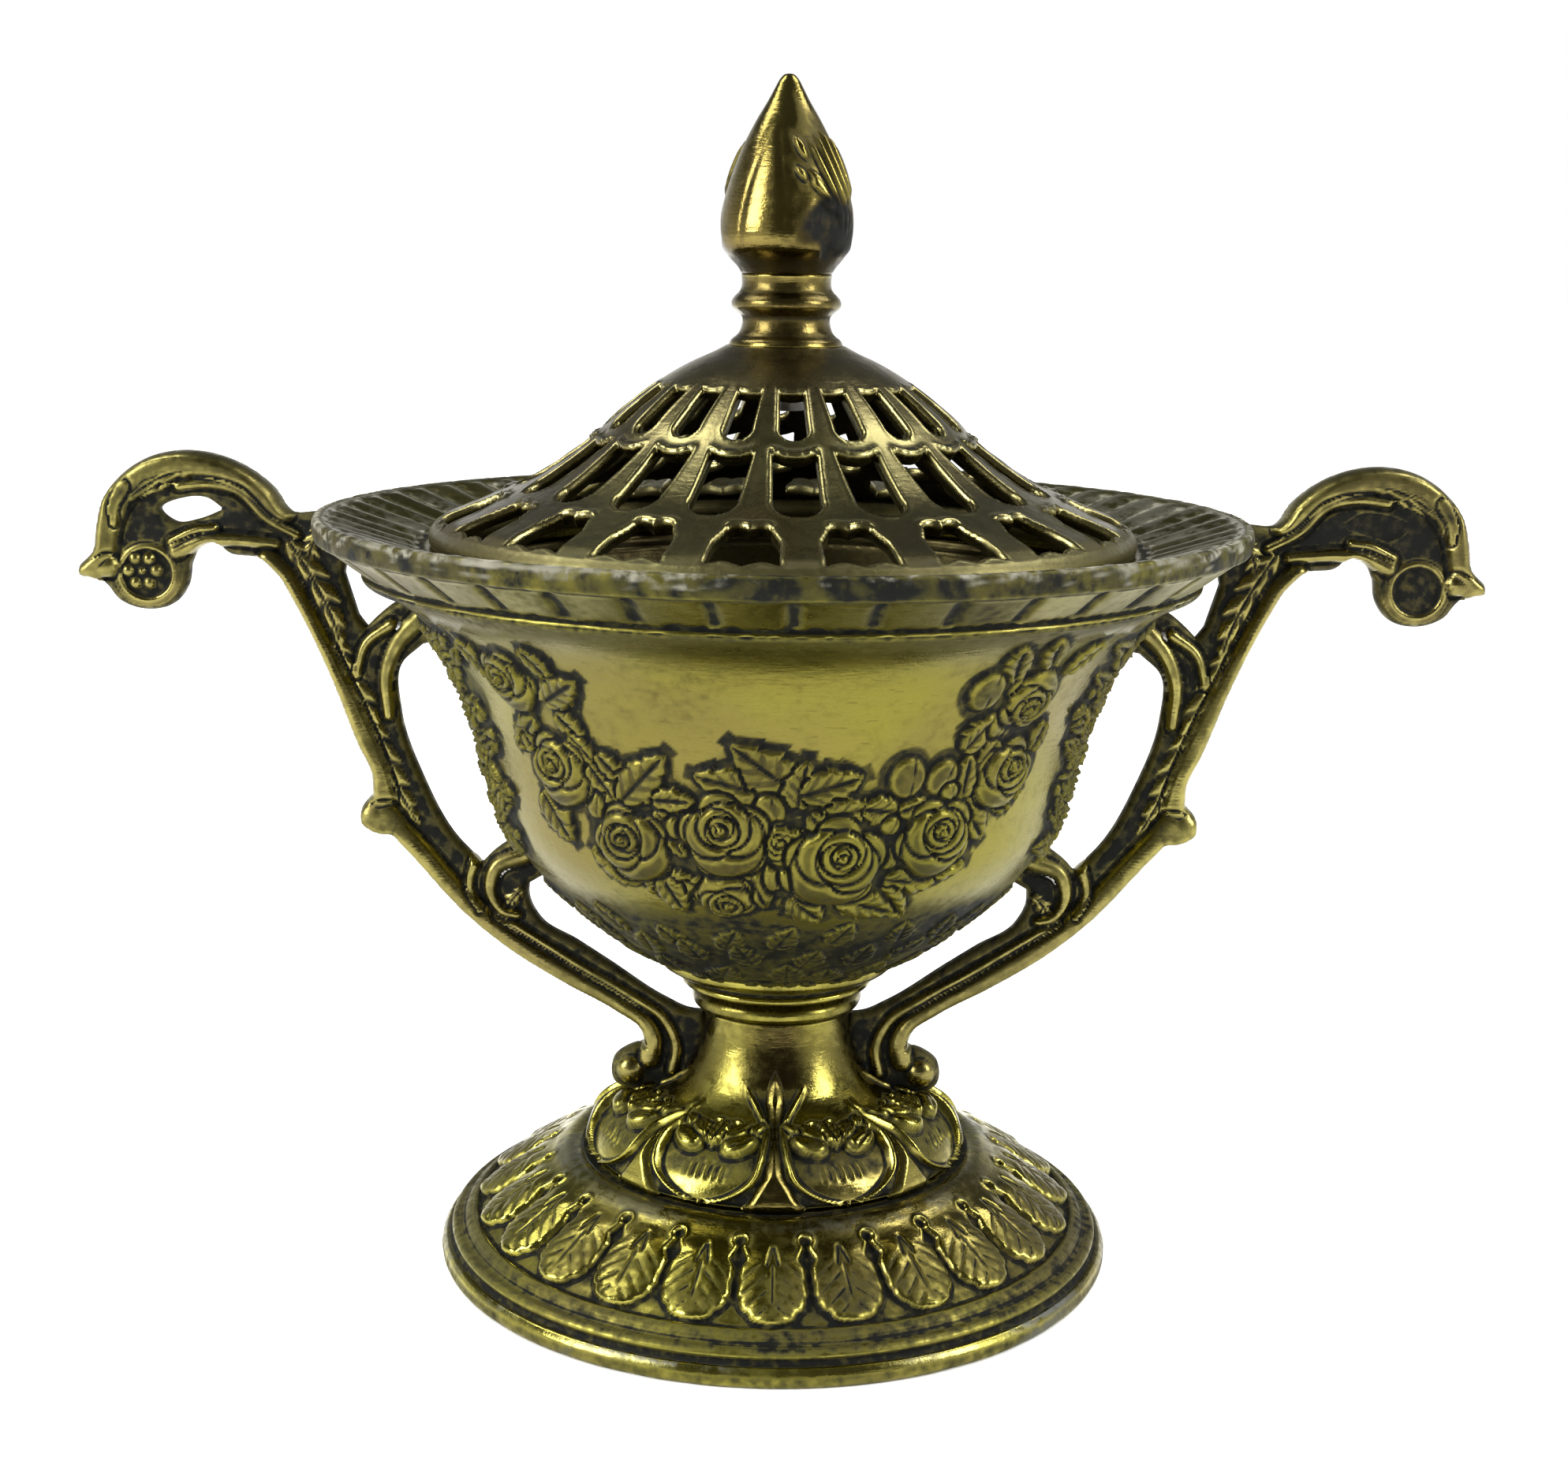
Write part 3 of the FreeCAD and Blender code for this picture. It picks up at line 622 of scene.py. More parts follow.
def make_rim():
    """Flared rim: grooves below, ribs above, a crimped seam at its foot and a dented edge."""
    profile = outline(
        (SEAT_RADIUS, SEAM_LEVEL),
        ("line", 1.5, (SEAM_RADIUS - 0.3, SEAM_LEVEL)),
        ("curve", 0.2, (44.7, 76.45), (45.0, 76.9), (44.8, 77.4)),
        ("line", 0.4, (49.2, 80.7)),
        ("curve", 0.22, (49.75, 80.9), (49.92, 81.4), (49.92, 82.6), (49.75, 83.1), (49.3, 83.2)),
        ("line", 0.4, (48.8, 83.1), (38.7, 79.8)),
        ("line", 0.9, (SEAT_RADIUS, 79.8), (SEAT_RADIUS, SEAM_LEVEL)),
    )
    rim = Turned(profile, 1080)
    azimuth, radius, level = rim.azimuth[None, :], rim.radius, rim.level
    under = rim.normal[:, 1:] < 0.3
    # Dark grooves across the underside of the flare
    spacing = TURN * radius / RIM_GROOVES
    off_groove = ((azimuth / TURN * RIM_GROOVES + 0.35) % 1 - 0.5) * spacing
    on_flare = smoothstep(45.0, 45.6, radius) * smoothstep(49.2, 48.6, radius) * under
    groove = ridge(off_groove + 0.12 * round_ripples(13, azimuth, 30, radius, scale=1.5), 0.72) * on_flare
    rim.height -= 0.45 * groove
    # Crimped seam along the flare's lower edge
    crimp = 0.28 * round_ripples(11, azimuth, 44, scale=0.55)
    crimp = crimp + 0.14 * round_ripples(12, azimuth, 44, scale=0.25)
    on_seam = smoothstep(77.75, 77.4, level - crimp) * (radius > 43.0) * under
    rim.height -= 0.3 * ridge(level - 77.3 - crimp, 0.3) * (radius > 44.0) * under
    # Ribs on the inside of the flare
    rib_pitch = TURN * radius / RIM_RIBS
    off_rib = ((azimuth / TURN * RIM_RIBS) % 1 - 0.5) * TURN * radius / RIM_RIBS
    inside = smoothstep(39.2, 39.8, radius) * smoothstep(48.4, 47.8, radius)
    inside = inside * (rim.normal[:, 1:] > 0.5) * (level > 79.9)
    rim.height += 0.22 * np.cos(off_rib / rib_pitch * TURN) * inside
    rib_valley = smoothstep(0.33, 0.47, np.abs(off_rib) / rib_pitch) * inside
    # Dents and pitting of the outer edge
    edge = smoothstep(48.6, 49.4, radius) * smoothstep(80.4, 81.0, level)
    dents = round_ripples(3, azimuth, 50, level, scale=1.4)
    dents = dents + round_ripples(4, azimuth, 50, level, scale=0.45)
    rim.height -= 0.055 * edge * np.clip(dents + 0.4, 0, 3)
    worn = edge * smoothstep(-0.3, 0.8, round_ripples(14, azimuth, 50, level * 3, scale=1.2) + level - 82.4)
    dusty = 0.85 * inside * smoothstep(-1.2, 0.3, round_ripples(20, azimuth, 45, radius, scale=4.0))
    worn = np.maximum(worn, dusty)
    mottle = 0.92 + 0.22 * round_ripples(15, azimuth, 50, level * 2, scale=1.2)
    soot = strongest(rim.height, groove, on_seam, edge * mottle, 0.75 * rib_valley)
    soot = np.clip(soot + 0.42 * on_flare * (1 + round_ripples(16, azimuth, 48, scale=3.0)), 0, 1)
    rim.cast("rim_casting", "vessel", "brass_body", RIM_BRASS, "rim", worn=worn, soot=soot)


# ---------------------------------------------------------------- foot, pedestal, rings

FOOT_COLUMNS = 960
FOOT_LEAVES = 24
LOBES = 8
# Curled petals of a shield: the swing, radius and level of the foot and of the tip, and the width
SHIELD_CURLS = [
    (5.0, (18.1, 17.2), 15.0, (16.3, 17.9), 2.7), (3.0, (16.8, 17.85), 12.5, (14.0, 18.3), 2.3),
    (13.0, (15.4, 18.05), 18.0, (13.4, 18.45), 1.5),
]


def make_foot():
    """Foot with a rim band, mouldings and a border of leaves parted by sunk round-headed slots."""
    profile = outline(
        (35.3, 0.0),
        ("line", 0.7, (37.2, 0.0)),
        ("curve", 0.3, (37.5, 0.3), (37.5, 1.6), (37.1, 2.1)),
        ("curve", 0.25, (36.5, 2.1), (36.3, 2.5), (36.5, 3.0), (36.1, 3.5), (35.5, 3.6)),
        ("curve", 0.25, (35.1, 3.8), (34.8, 4.3), (34.3, 4.7), (33.8, 4.9)),
        ("curve", 0.22, (32.6, 5.7), (30.4, 7.1), (27.8, 8.8), (25.6, 10.4), (24.3, 11.3),
         (23.2, 11.8), (22.2, 11.75), (21.6, 11.5)),
        ("line", 1.2, (17.0, 11.5), (17.0, 10.1), (21.8, 10.1)),
        ("curve", 1.4, (26.6, 7.8), (31.2, 4.9), (34.3, 2.7)),
        ("line", 0.9, (35.3, 1.4), (35.3, 0.0)),
    )
    foot = Turned(profile, FOOT_COLUMNS)
    azimuth = foot.azimuth[None, :]
    on_top = (np.arange(len(foot.profile)) < foot.row_at(21.6, 11.5))[:, None]
    down = (foot.length[foot.row_at(24.6, 11.1)] - foot.length)[:, None]
    pitch = TURN * foot.radius / FOOT_LEAVES
    across = ((azimuth / TURN * FOOT_LEAVES + 0.5) % 1 - 0.5) * pitch
    gap = pitch / 2 - np.abs(across)
    # Half width of a slot: a round head, a waist where the leaf swells, and an opening at the tips
    tip = pitch / 2 + 0.3
    steps = np.interp(down, [0.5, 1.9, 3.2, 4.3, 6.2, 7.6, 8.6],
                      [0.0, 0.25, 0.85, 0.34, 0.46, 0.30, 0.5])
    rounding = 1 - np.sqrt(1 - np.clip((down - 6.4) / 4.4, 0, 1) ** 2.4)
    lobes = 0.2 * ridge(down - 7.7, 0.4) + 0.28 * ridge(down - 9.5, 0.35)
    slot = steps + (tip - steps) * rounding + lobes
    outside = np.minimum(gap - slot, 9)
    head = np.hypot(gap, down - 1.1) - 0.56
    outside = np.where((down < 0.5) & (head > 0), head, np.minimum(outside, head))
    border = on_top * smoothstep(-0.8, 0.0, down) * smoothstep(11.2, 10.9, down)
    sunk = smoothstep(0.12, -0.3, outside) * border
    crown = 0.48 * np.sqrt(np.clip(outside / 1.7, 0, 1)) * smoothstep(0.4, 3.6, down)
    raised_edge = 0.16 * ridge(outside - 0.26, 0.24) * smoothstep(4.2, 1.6, down)
    vein = ridge(np.abs(across) - 0.10 - 0.22 * np.clip(down - 2.0, 0, 2.2), 0.20)
    vein = vein * smoothstep(1.4, 2.2, down) * smoothstep(4.6, 3.8, down)
    midrib = ridge(across, 0.2) * smoothstep(1.6, 2.4, down) * smoothstep(9.6, 7.5, down)
    slant = (down - 0.9 * np.abs(across)) / 1.9
    side_vein = ridge(slant % 1 - 0.5, 0.16)
    side_vein = side_vein * smoothstep(0.3, 0.7, np.abs(across)) * smoothstep(3.4, 4.4, down)
    carved = crown + raised_edge - 0.24 * vein - 0.13 * midrib - 0.1 * side_vein
    foot.height += border * np.where(outside > 0, carved, 0) - 0.62 * sunk
    # Wear and dirt
    band = smoothstep(36.9, 37.3, foot.radius)
    foot.height -= 0.06 * band * np.clip(round_ripples(8, azimuth, 37, foot.level, scale=1.5), 0, 2)
    step_line = on_top * ridge(foot.radius - 37.15, 0.35) * (foot.level > 1.4)
    blotchy = smoothstep(-0.5, 0.7, round_ripples(9, azimuth, 37, scale=5))
    low_band = band * smoothstep(1.6, 1.2, foot.level)
    stained = low_band * smoothstep(0.1, 0.5, round_ripples(18, azimuth, 37, 2 * foot.level, scale=4))
    plain = on_top * smoothstep(0.8, -0.4, down) * (0.35 + 0.3 * round_ripples(23, azimuth, 24, scale=3))
    worn = strongest(foot.height, step_line * blotchy, 0.8 * stained, plain)
    groove = on_top * ridge(foot.radius - 36.1, 0.5) * (foot.level > 2.0)
    veins = border * (vein + 0.4 * midrib + 0.3 * side_vein) * (outside > 0)
    moulding = on_top * smoothstep(33.6, 34.2, foot.radius) * smoothstep(36.9, 36.5, foot.radius)
    leaf_face = 0.4 + 0.25 * round_ripples(19, azimuth, 30, down, scale=1.4)
    leaf_face = leaf_face * border * smoothstep(3.0, 6.0, down)
    cleared = smoothstep(8.2, 10.0, down + 0.8 * round_ripples(24, azimuth, 33, scale=1.5))
    ground = sunk * (1 - 0.5 * cleared)
    soot = strongest(foot.height, ground, 0.95 * groove, 0.8 * veins, 0.7 * stained, 0.74 * moulding,
                     0.78 * low_band, leaf_face)
    foot.cast("foot_casting", "vessel", "brass_body", FOOT_BRASS, "foot_base", worn=worn, soot=soot)


def make_pedestal():
    """Trumpet stem that spreads into eight round shields of foliage, with spears between pairs."""
    profile = outline(
        (18.7, 11.6),
        ("line", 0.8, (20.9, 11.6)),
        ("curve", 0.2, (21.2, 12.2), (20.9, 13.6), (19.7, 16.0), (17.3, 17.7), (15.2, 18.1),
         (12.8, 18.6), (10.9, 20.0), (9.5, 22.2), (8.5, 24.8), (8.0, 27.9)),
        ("line", 1.2, (2.65, 27.9), (2.65, 24.6)),
        ("curve", 1.2, (5.6, 22.0), (7.4, 18.0), (10.2, 15.2)),
        ("curve", 1.2, (14.0, 15.6), (17.4, 14.4), (18.7, 11.6)),
    )
    pedestal = Turned(profile, FOOT_COLUMNS)
    base, top = pedestal.row_at(20.9, 11.6), pedestal.row_at(8.0, 27.9)
    row = np.arange(len(pedestal.profile))[:, None]
    outer = ((row >= base) & (row <= top)).astype(float)
    along = (pedestal.length - pedestal.length[base])[:, None]
    # Azimuth folded between a spear's middle (0) and the plain seam of two shields (45 degrees)
    folded = np.abs((pedestal.azimuth[None, :] + math.pi / 4) % (math.pi / 2) - math.pi / 4)
    from_spear = folded * pedestal.radius
    width = math.pi / 4 * pedestal.radius
    middle = from_spear - width / 2
    spear_gap = np.interp(along, [1, 3, 6, 9, 11.5, 13, 14.5, 16.5],
                          [2.7, 1.9, 1.0, 0.6, 0.6, 1.2, 1.9, 2.9])
    seam_gap = np.interp(along, [1, 3, 6, 9, 12, 14.6], [2.7, 1.9, 1.0, 0.5, 0.25, 0.0])
    round_end = np.sqrt(np.clip(1 - np.clip((4.4 - along) / 3.7, 0, 1) ** 2, 0, 1))
    spear_side = (width / 2 - spear_gap) * round_end + middle
    seam_side = (width / 2 - seam_gap) * round_end - middle
    edge = np.minimum(spear_side, seam_side)
    horn = np.where(spear_side < seam_side, smoothstep(16.8, 14.8, along), smoothstep(14.6, 12.5, along))
    lip = ridge(edge - 0.32, 0.3) * horn
    gap = smoothstep(0.1, -0.45, edge) * horn
    blade = np.interp(along, [0, 1.5, 4, 8, 11.5, 13, 15, 17, 18.2],
                      [3.6, 2.6, 1.1, 0.5, 0.5, 0.8, 1.15, 0.6, 0.0])
    spear = np.sqrt(np.clip((blade - from_spear) / 0.9, 0, 1)) * smoothstep(18.6, 17.8, along)
    tongue = np.interp(along, [0, 1.5, 4, 7, 9], [3.4, 2.4, 0.9, 0.3, 0.0])
    tongue = np.sqrt(np.clip((tongue - (width - from_spear)) / 0.9, 0, 1))
    # Foliage: a scalloped upper edge, and a pouch that is deepest below it
    brow = 11.4 - 1.9 * (middle / 5) ** 2 + 0.6 * np.abs(np.sin(math.pi * middle / 2.3))
    inside = smoothstep(0.55, 1.1, edge)
    bead = ridge(along - brow, 0.34) * inside
    hollow = smoothstep(-0.1, 0.7, brow - along) * inside
    deep = smoothstep(1.4, 4.6, along)
    uneven = round_ripples(25, pedestal.azimuth[None, :], 18, along, scale=0.9)
    fringe = np.cos(TURN * middle / 0.95 + 1.2 * (along - 4) + 1.6 * uneven)
    fringe = fringe * smoothstep(3.0, 3.6, along) * smoothstep(5.8, 4.8, along)
    fringe = fringe * smoothstep(3.0, 2.0, np.abs(middle))
    pedestal.height += outer * (0.42 * lip - 0.5 * gap + 0.3 * bead - hollow * (0.35 + 0.5 * deep))
    pedestal.height += outer * (0.11 * fringe * inside + 0.75 * np.maximum(spear, tongue))
    for step in range(LOBES):
        azimuth = 360 / LOBES * (step + 0.5)
        for side in (-1, 1):
            for swing, place, tip_swing, tip_place, curl in SHIELD_CURLS:
                start, end = (azimuth + side * swing, *place), (azimuth + side * tip_swing, *tip_place)
                pedestal.lay(start, end, lambda length: bud(1.15 * length, curl, 0.62))
        start, end = (azimuth, 17.6, 17.5), (azimuth, 13.1, 18.5)
        pedestal.lay(start, end, lambda length: leaf(length, 2.2, 0.6, 2, 0.3))
    foliage = smoothstep(0.7, 0.1, pedestal.nearest) * smoothstep(-0.25, 0.0, pedestal.nearest)
    recess = hollow * smoothstep(2.4, 4.2, along) * smoothstep(8.2, 6.0, along)
    # Painted dark reflection: the trumpet browns upwards and in a stripe over each spear, standing in for
    # the dark reflection down the polished stem; the spears brown too
    brown = 0.42 + 0.46 * smoothstep(0.62, 0.12, folded)
    brown = brown + 0.08 * round_ripples(17, pedestal.azimuth[None, :], 9, scale=2.5)
    brown = outer * np.maximum(brown * smoothstep(12.0, 17.5, along), 0.75 * (spear > 0.1))
    open_gap = gap * (spear < 0.2) * (tongue < 0.2)
    # Painted dark reflection: the top of the stem is darkened a little all round
    stem = 0.2 * smoothstep(16.0, 18.0, along)
    soot = strongest(pedestal.height, 0.95 * open_gap, 0.5 * foliage, 0.75 * pedestal.line,
                     0.75 * recess, stem)
    soot = np.clip(outer * soot - 0.35 * smoothstep(-0.15, -0.5, pedestal.nearest), 0, 1)
    pedestal.cast("pedestal_casting", "vessel", "brass_body", FOOT_BRASS, "pedestal",
                  soot=soot, brown=np.clip(brown, 0, 1))


RING_COLUMNS = 240


def make_turned_ring(name, node, body, slot, material, profile, seed):
    """A turned ring with faint unevenness from casting and polishing, and a brown tarnish."""
    ring = Turned(profile, RING_COLUMNS)
    wander = round_ripples(seed, ring.azimuth[None, :], 12, ring.level, scale=1.2)
    ring.height += 0.02 * wander
    ring.cast(name, body, slot, material, node, soot=0.25 + 0.1 * wander, brown=0.4 + 0.2 * wander)


def make_neck():
    """The bead and the cup between the stem and the bowl."""
    bead = outline(
        (2.65, 27.9), ("line", 1.2, (8.2, 27.9)),
        ("curve", 0.2, (8.9, 28.1), (9.45, 28.8), (9.4, 29.6), (8.8, 30.2), (8.5, 30.5), (8.7, 30.9)),
        ("line", 1.2, (2.65, 30.9), (2.65, 27.9)),
    )
    cup = outline(
        (2.65, 30.9), ("line", 1.2, (10.0, 30.9)),
        ("curve", 0.2, (10.6, 31.0), (10.7, 31.5), (10.3, 31.9), (10.5, 32.3), (11.6, 32.6),
         (12.7, 33.0), (13.3, 33.6), (13.3, 34.3)),
        ("line", 1.2, (2.65, 34.3), (2.65, 30.9)),
    )
    make_turned_ring("neck_bead", "neck_ring_lower", "vessel", "brass_body", FOOT_BRASS, bead, 5)
    make_turned_ring("neck_cup", "neck_ring_upper", "vessel", "brass_body", FOOT_BRASS, cup, 6)


# ---------------------------------------------------------------- lid

LID_COLUMNS = 720
LID_PITCHES = 20
LID_TURN = 3.0
LID_THICKNESS = 1.3
# Rows of openings from the crown down, by the dome's radius at their top and bottom
ROW_ONE, ROW_TWO, ROW_THREE = (13.7, 19.1), (20.3, 28.6), (30.5, 36.8)
# Half width of the second row's openings at the top, and the length of a scallop over the third's
ROW_TWO_HALF = 2.2
SCALLOP = 2.3
# Points at an opening are drawn onto its outline in a few draws, each of a limited length. The slope
# there is measured over the probe's length.
DRAWS = 3
LID_DRAW = 0.22
HANDLE_DRAW = 0.16
PROBE = 0.02


def lid_dome():
    """Outer profile of the dome, from the crown's edge to the flange's shoulder."""
    return outline(
        (6.3, 101.0),
        ("curve", 0.32, (7.6, 100.3), (9.6, 99.4), (12.0, 98.1), (14.9, 96.1), (17.9, 93.7), (20.4, 91.3),
         (23.2, 89.2), (26.4, 87.1), (30.2, 85.3), (33.4, 83.9), (36.2, 82.7), (37.3, 82.0)),
    )


def piercing(across, radius, along, dome_at):
    """Signed distance to the nearest opening (negative inside) and the height of its raised edge."""
    pitch = TURN * radius / LID_PITCHES
    offset = (across / pitch) % 1
    centred = (offset - np.round(offset)) * pitch
    between = (offset - 0.5) * pitch

    def slot(top, bottom, narrow, wide, sag):
        y_top, y_bottom = dome_at(top), dome_at(bottom)
        half = narrow + (wide - narrow) * np.clip((along - y_top) / (y_bottom - y_top), 0, 1)
        turn_in = y_bottom - wide
        sides = np.abs(centred) - half
        rounded = np.hypot(centred, along - turn_in) - wide
        shape = np.where(along > turn_in, rounded, sides)
        ceiling = y_top + sag * (1 - (centred / half) ** 2) - along
        return np.maximum(shape, ceiling)

    first = slot(*ROW_ONE, 1.2, 1.5, 0.25)
    second = slot(*ROW_TWO, ROW_TWO_HALF, 2.5, 0.75)
    y_top, y_bottom = dome_at(ROW_THREE[0]), dome_at(ROW_THREE[1])
    depth = np.clip((along - y_top) / (y_bottom - y_top), 0, 1)
    petal = 2.75 - 0.75 * smoothstep(0.0, 0.45, depth) + 0.15 * ridge(depth - 0.85, 0.15)
    sides = np.abs(between) - (pitch / 2 - petal)
    scallops = np.abs(np.sin(math.pi * between / SCALLOP))
    ceiling = y_top + 0.25 - 0.55 * scallops - along
    floor = along - y_bottom + 0.7 * np.abs(np.sin(3 * math.pi * between / pitch))
    third = np.maximum(sides, np.maximum(ceiling, floor))
    distance = np.minimum(np.minimum(first, second), third)
    # Raised edges over the third row and above the second
    crest = ridge(along - y_top + 0.45 + 0.35 * scallops, 0.28)
    crest = crest * smoothstep(2.6, 2.0, np.abs(between))
    top_two = dome_at(ROW_TWO[0])
    sag = ridge(along - top_two - 0.75 * (1 - (centred / ROW_TWO_HALF) ** 2) + 0.4, 0.3)
    sag = sag * smoothstep(2.5, 2.1, np.abs(centred)) * (along < top_two + 1.0)
    raised = 0.12 * ridge(distance - 0.22, 0.2) + 0.28 * np.maximum(crest, sag)
    turned_in = smoothstep(0.35, 0.0, distance)
    return distance, raised - 0.22 * turned_in


def make_lid():
    """Pierced dome of even thickness with a flange and a locating skirt."""
    dome = lid_dome()
    steps = np.gradient(dome, axis=0)
    steps /= np.linalg.norm(steps, axis=1)[:, None]
    normal = np.stack([-steps[:, 1], steps[:, 0]], 1)
    length = np.concatenate([[0], np.cumsum(np.linalg.norm(np.diff(dome, axis=0), axis=1))])

    def dome_at(radius):
        return np.interp(radius, dome[:, 0], length)

    rows, columns = len(dome), LID_COLUMNS
    count = rows * columns
    angle = np.arange(columns) * TURN / columns
    azimuth = np.broadcast_to(angle, (rows, columns)).copy()
    along = np.broadcast_to(length[:, None], (rows, columns)).copy()
    turned = math.radians(LID_TURN)

    def distance_at(azimuth, along):
        radius = np.interp(along, length, dome[:, 0])
        return piercing((azimuth - turned) * radius, radius, along, dome_at)

    middle_azimuth = azimuth + TURN / columns / 2
    middle_distance, _ = distance_at(middle_azimuth[:-1], (along[:-1] + along[1:]) / 2)
    solid = middle_distance > 0
    # Points on the edge of an opening are drawn onto its outline
    corner = cells_round(solid, wrapped=True)
    on_edge = (corner > 0) & (corner < 4)
    on_edge[0] = on_edge[-1] = False
    for _ in range(DRAWS):
        radius = np.interp(along, length, dome[:, 0])
        here, _ = distance_at(azimuth, along)
        east, _ = distance_at(azimuth + PROBE / radius, along)
        north, _ = distance_at(azimuth, along + PROBE)
        slope_x, slope_y = (east - here) / PROBE, (north - here) / PROBE
        steep = np.maximum(slope_x**2 + slope_y**2, 0.3)
        step = np.clip(here / steep, -LID_DRAW, LID_DRAW) * on_edge
        azimuth -= step * slope_x / radius
        along -= step * slope_y
    _, raised = distance_at(azimuth, along)

    def sheet(lift):
        radius = np.interp(along, length, dome[:, 0])
        level = np.interp(along, length, dome[:, 1])
        out = np.interp(along, length, normal[:, 0])
        up = np.interp(along, length, normal[:, 1])
        return round_points(radius + lift * out, azimuth, level + lift * up)

    outer, inner = sheet(raised), sheet(-LID_THICKNESS)
    i, j = np.nonzero(solid)
    side, here, below = (j + 1) % columns, i * columns, (i + 1) * columns
    quads = np.stack([here + j, below + j, below + side, here + side], 1)
    # Walls of the openings, but not of the dome's own two edges
    edges = open_edges(quads, count)
    row_of = edges // columns
    edges = edges[~((row_of == 0).all(1) | (row_of == rows - 1).all(1))]
    walls = walls_along(edges, count)
    # Crown, and the flange's lip and skirt, as rings of points between the two sheets
    crown = [(4.2, 101.0), (2.0, 101.0), (2.0, 99.4), (4.0, 99.4)]
    lip = [(37.7, 81.5), (37.9, 81.0), (37.85, 80.3), (37.6, 79.85), (36.5, 79.8), (36.5, 78.2),
           (35.5, 78.2), (35.5, 79.9)]
    points, start, rings = [outer, inner], 2 * count, []
    for ring in (crown, lip):
        index = []
        for radius, level in ring:
            points.append(round_points(radius, angle, level))
            index.append(np.arange(start, start + columns))
            start += columns
        rings.append(index)
    row = np.arange(columns)
    top_edge, top_inner = row, row + count
    flange_edge, flange_inner = row + (rows - 1) * columns, row + (rows - 1) * columns + count
    bands = []
    for chain in ([top_inner, *rings[0][::-1], top_edge], [flange_edge, *rings[1], flange_inner]):
        for a, b in zip(chain, chain[1:]):
            bands.append(np.stack([a, b, np.roll(b, -1), np.roll(a, -1)], 1))
    faces = np.vstack([quads, quads[:, ::-1] + count, walls, *bands])
    points = np.vstack(points)
    used = np.zeros(len(points), bool)
    used[faces.ravel()] = True
    renumber = np.cumsum(used) - 1
    # The inner sheet is painted near black. The outer sheet darkens towards the flange's edge, and the lip
    # and skirt are dark: painted shadow along the flange
    soot = np.zeros(len(points))
    soot[count:2 * count] = 0.95
    soot[:count] = 0.75 * smoothstep(35.2, 36.6, np.interp(along, length, dome[:, 0])).ravel()
    soot[2 * count + len(crown) * columns:] = 0.85
    make_piece("lid_casting", points[used], renumber[faces], "lid", "brass_lid", LID_BRASS, "lid",
               soot=soot[used])


FINIAL_COLUMNS = 360
# Azimuth, level, half width and half height of the dark hollow, and azimuth of the facet, on each side
HOLLOW_AZIMUTH, HOLLOW_LEVEL, HOLLOW_HALF, HOLLOW_RISE = 48, 113.0, 6.0, 3.9
FACET_AZIMUTH = -22
# Folds of the leaf that wraps the bud, each from a foot (azimuth, radius and level) to a tip
FINIAL_PLUMES = [
    (44, (6.75, 115.8), 17, (5.8, 119.2), 1.6), (22, (5.5, 120.0), 9, (4.3, 122.6), 1.3),
    (19, (6.15, 117.8), 8, (5.75, 119.6), 1.1), (56, (6.85, 115.2), 31, (4.7, 121.8), 1.7),
    (64, (6.8, 115.2), 42, (4.3, 122.6), 1.7), (72, (6.75, 115.5), 54, (4.0, 123.2), 1.7),
    (81, (6.6, 116.2), 68, (4.2, 122.8), 1.6),
]


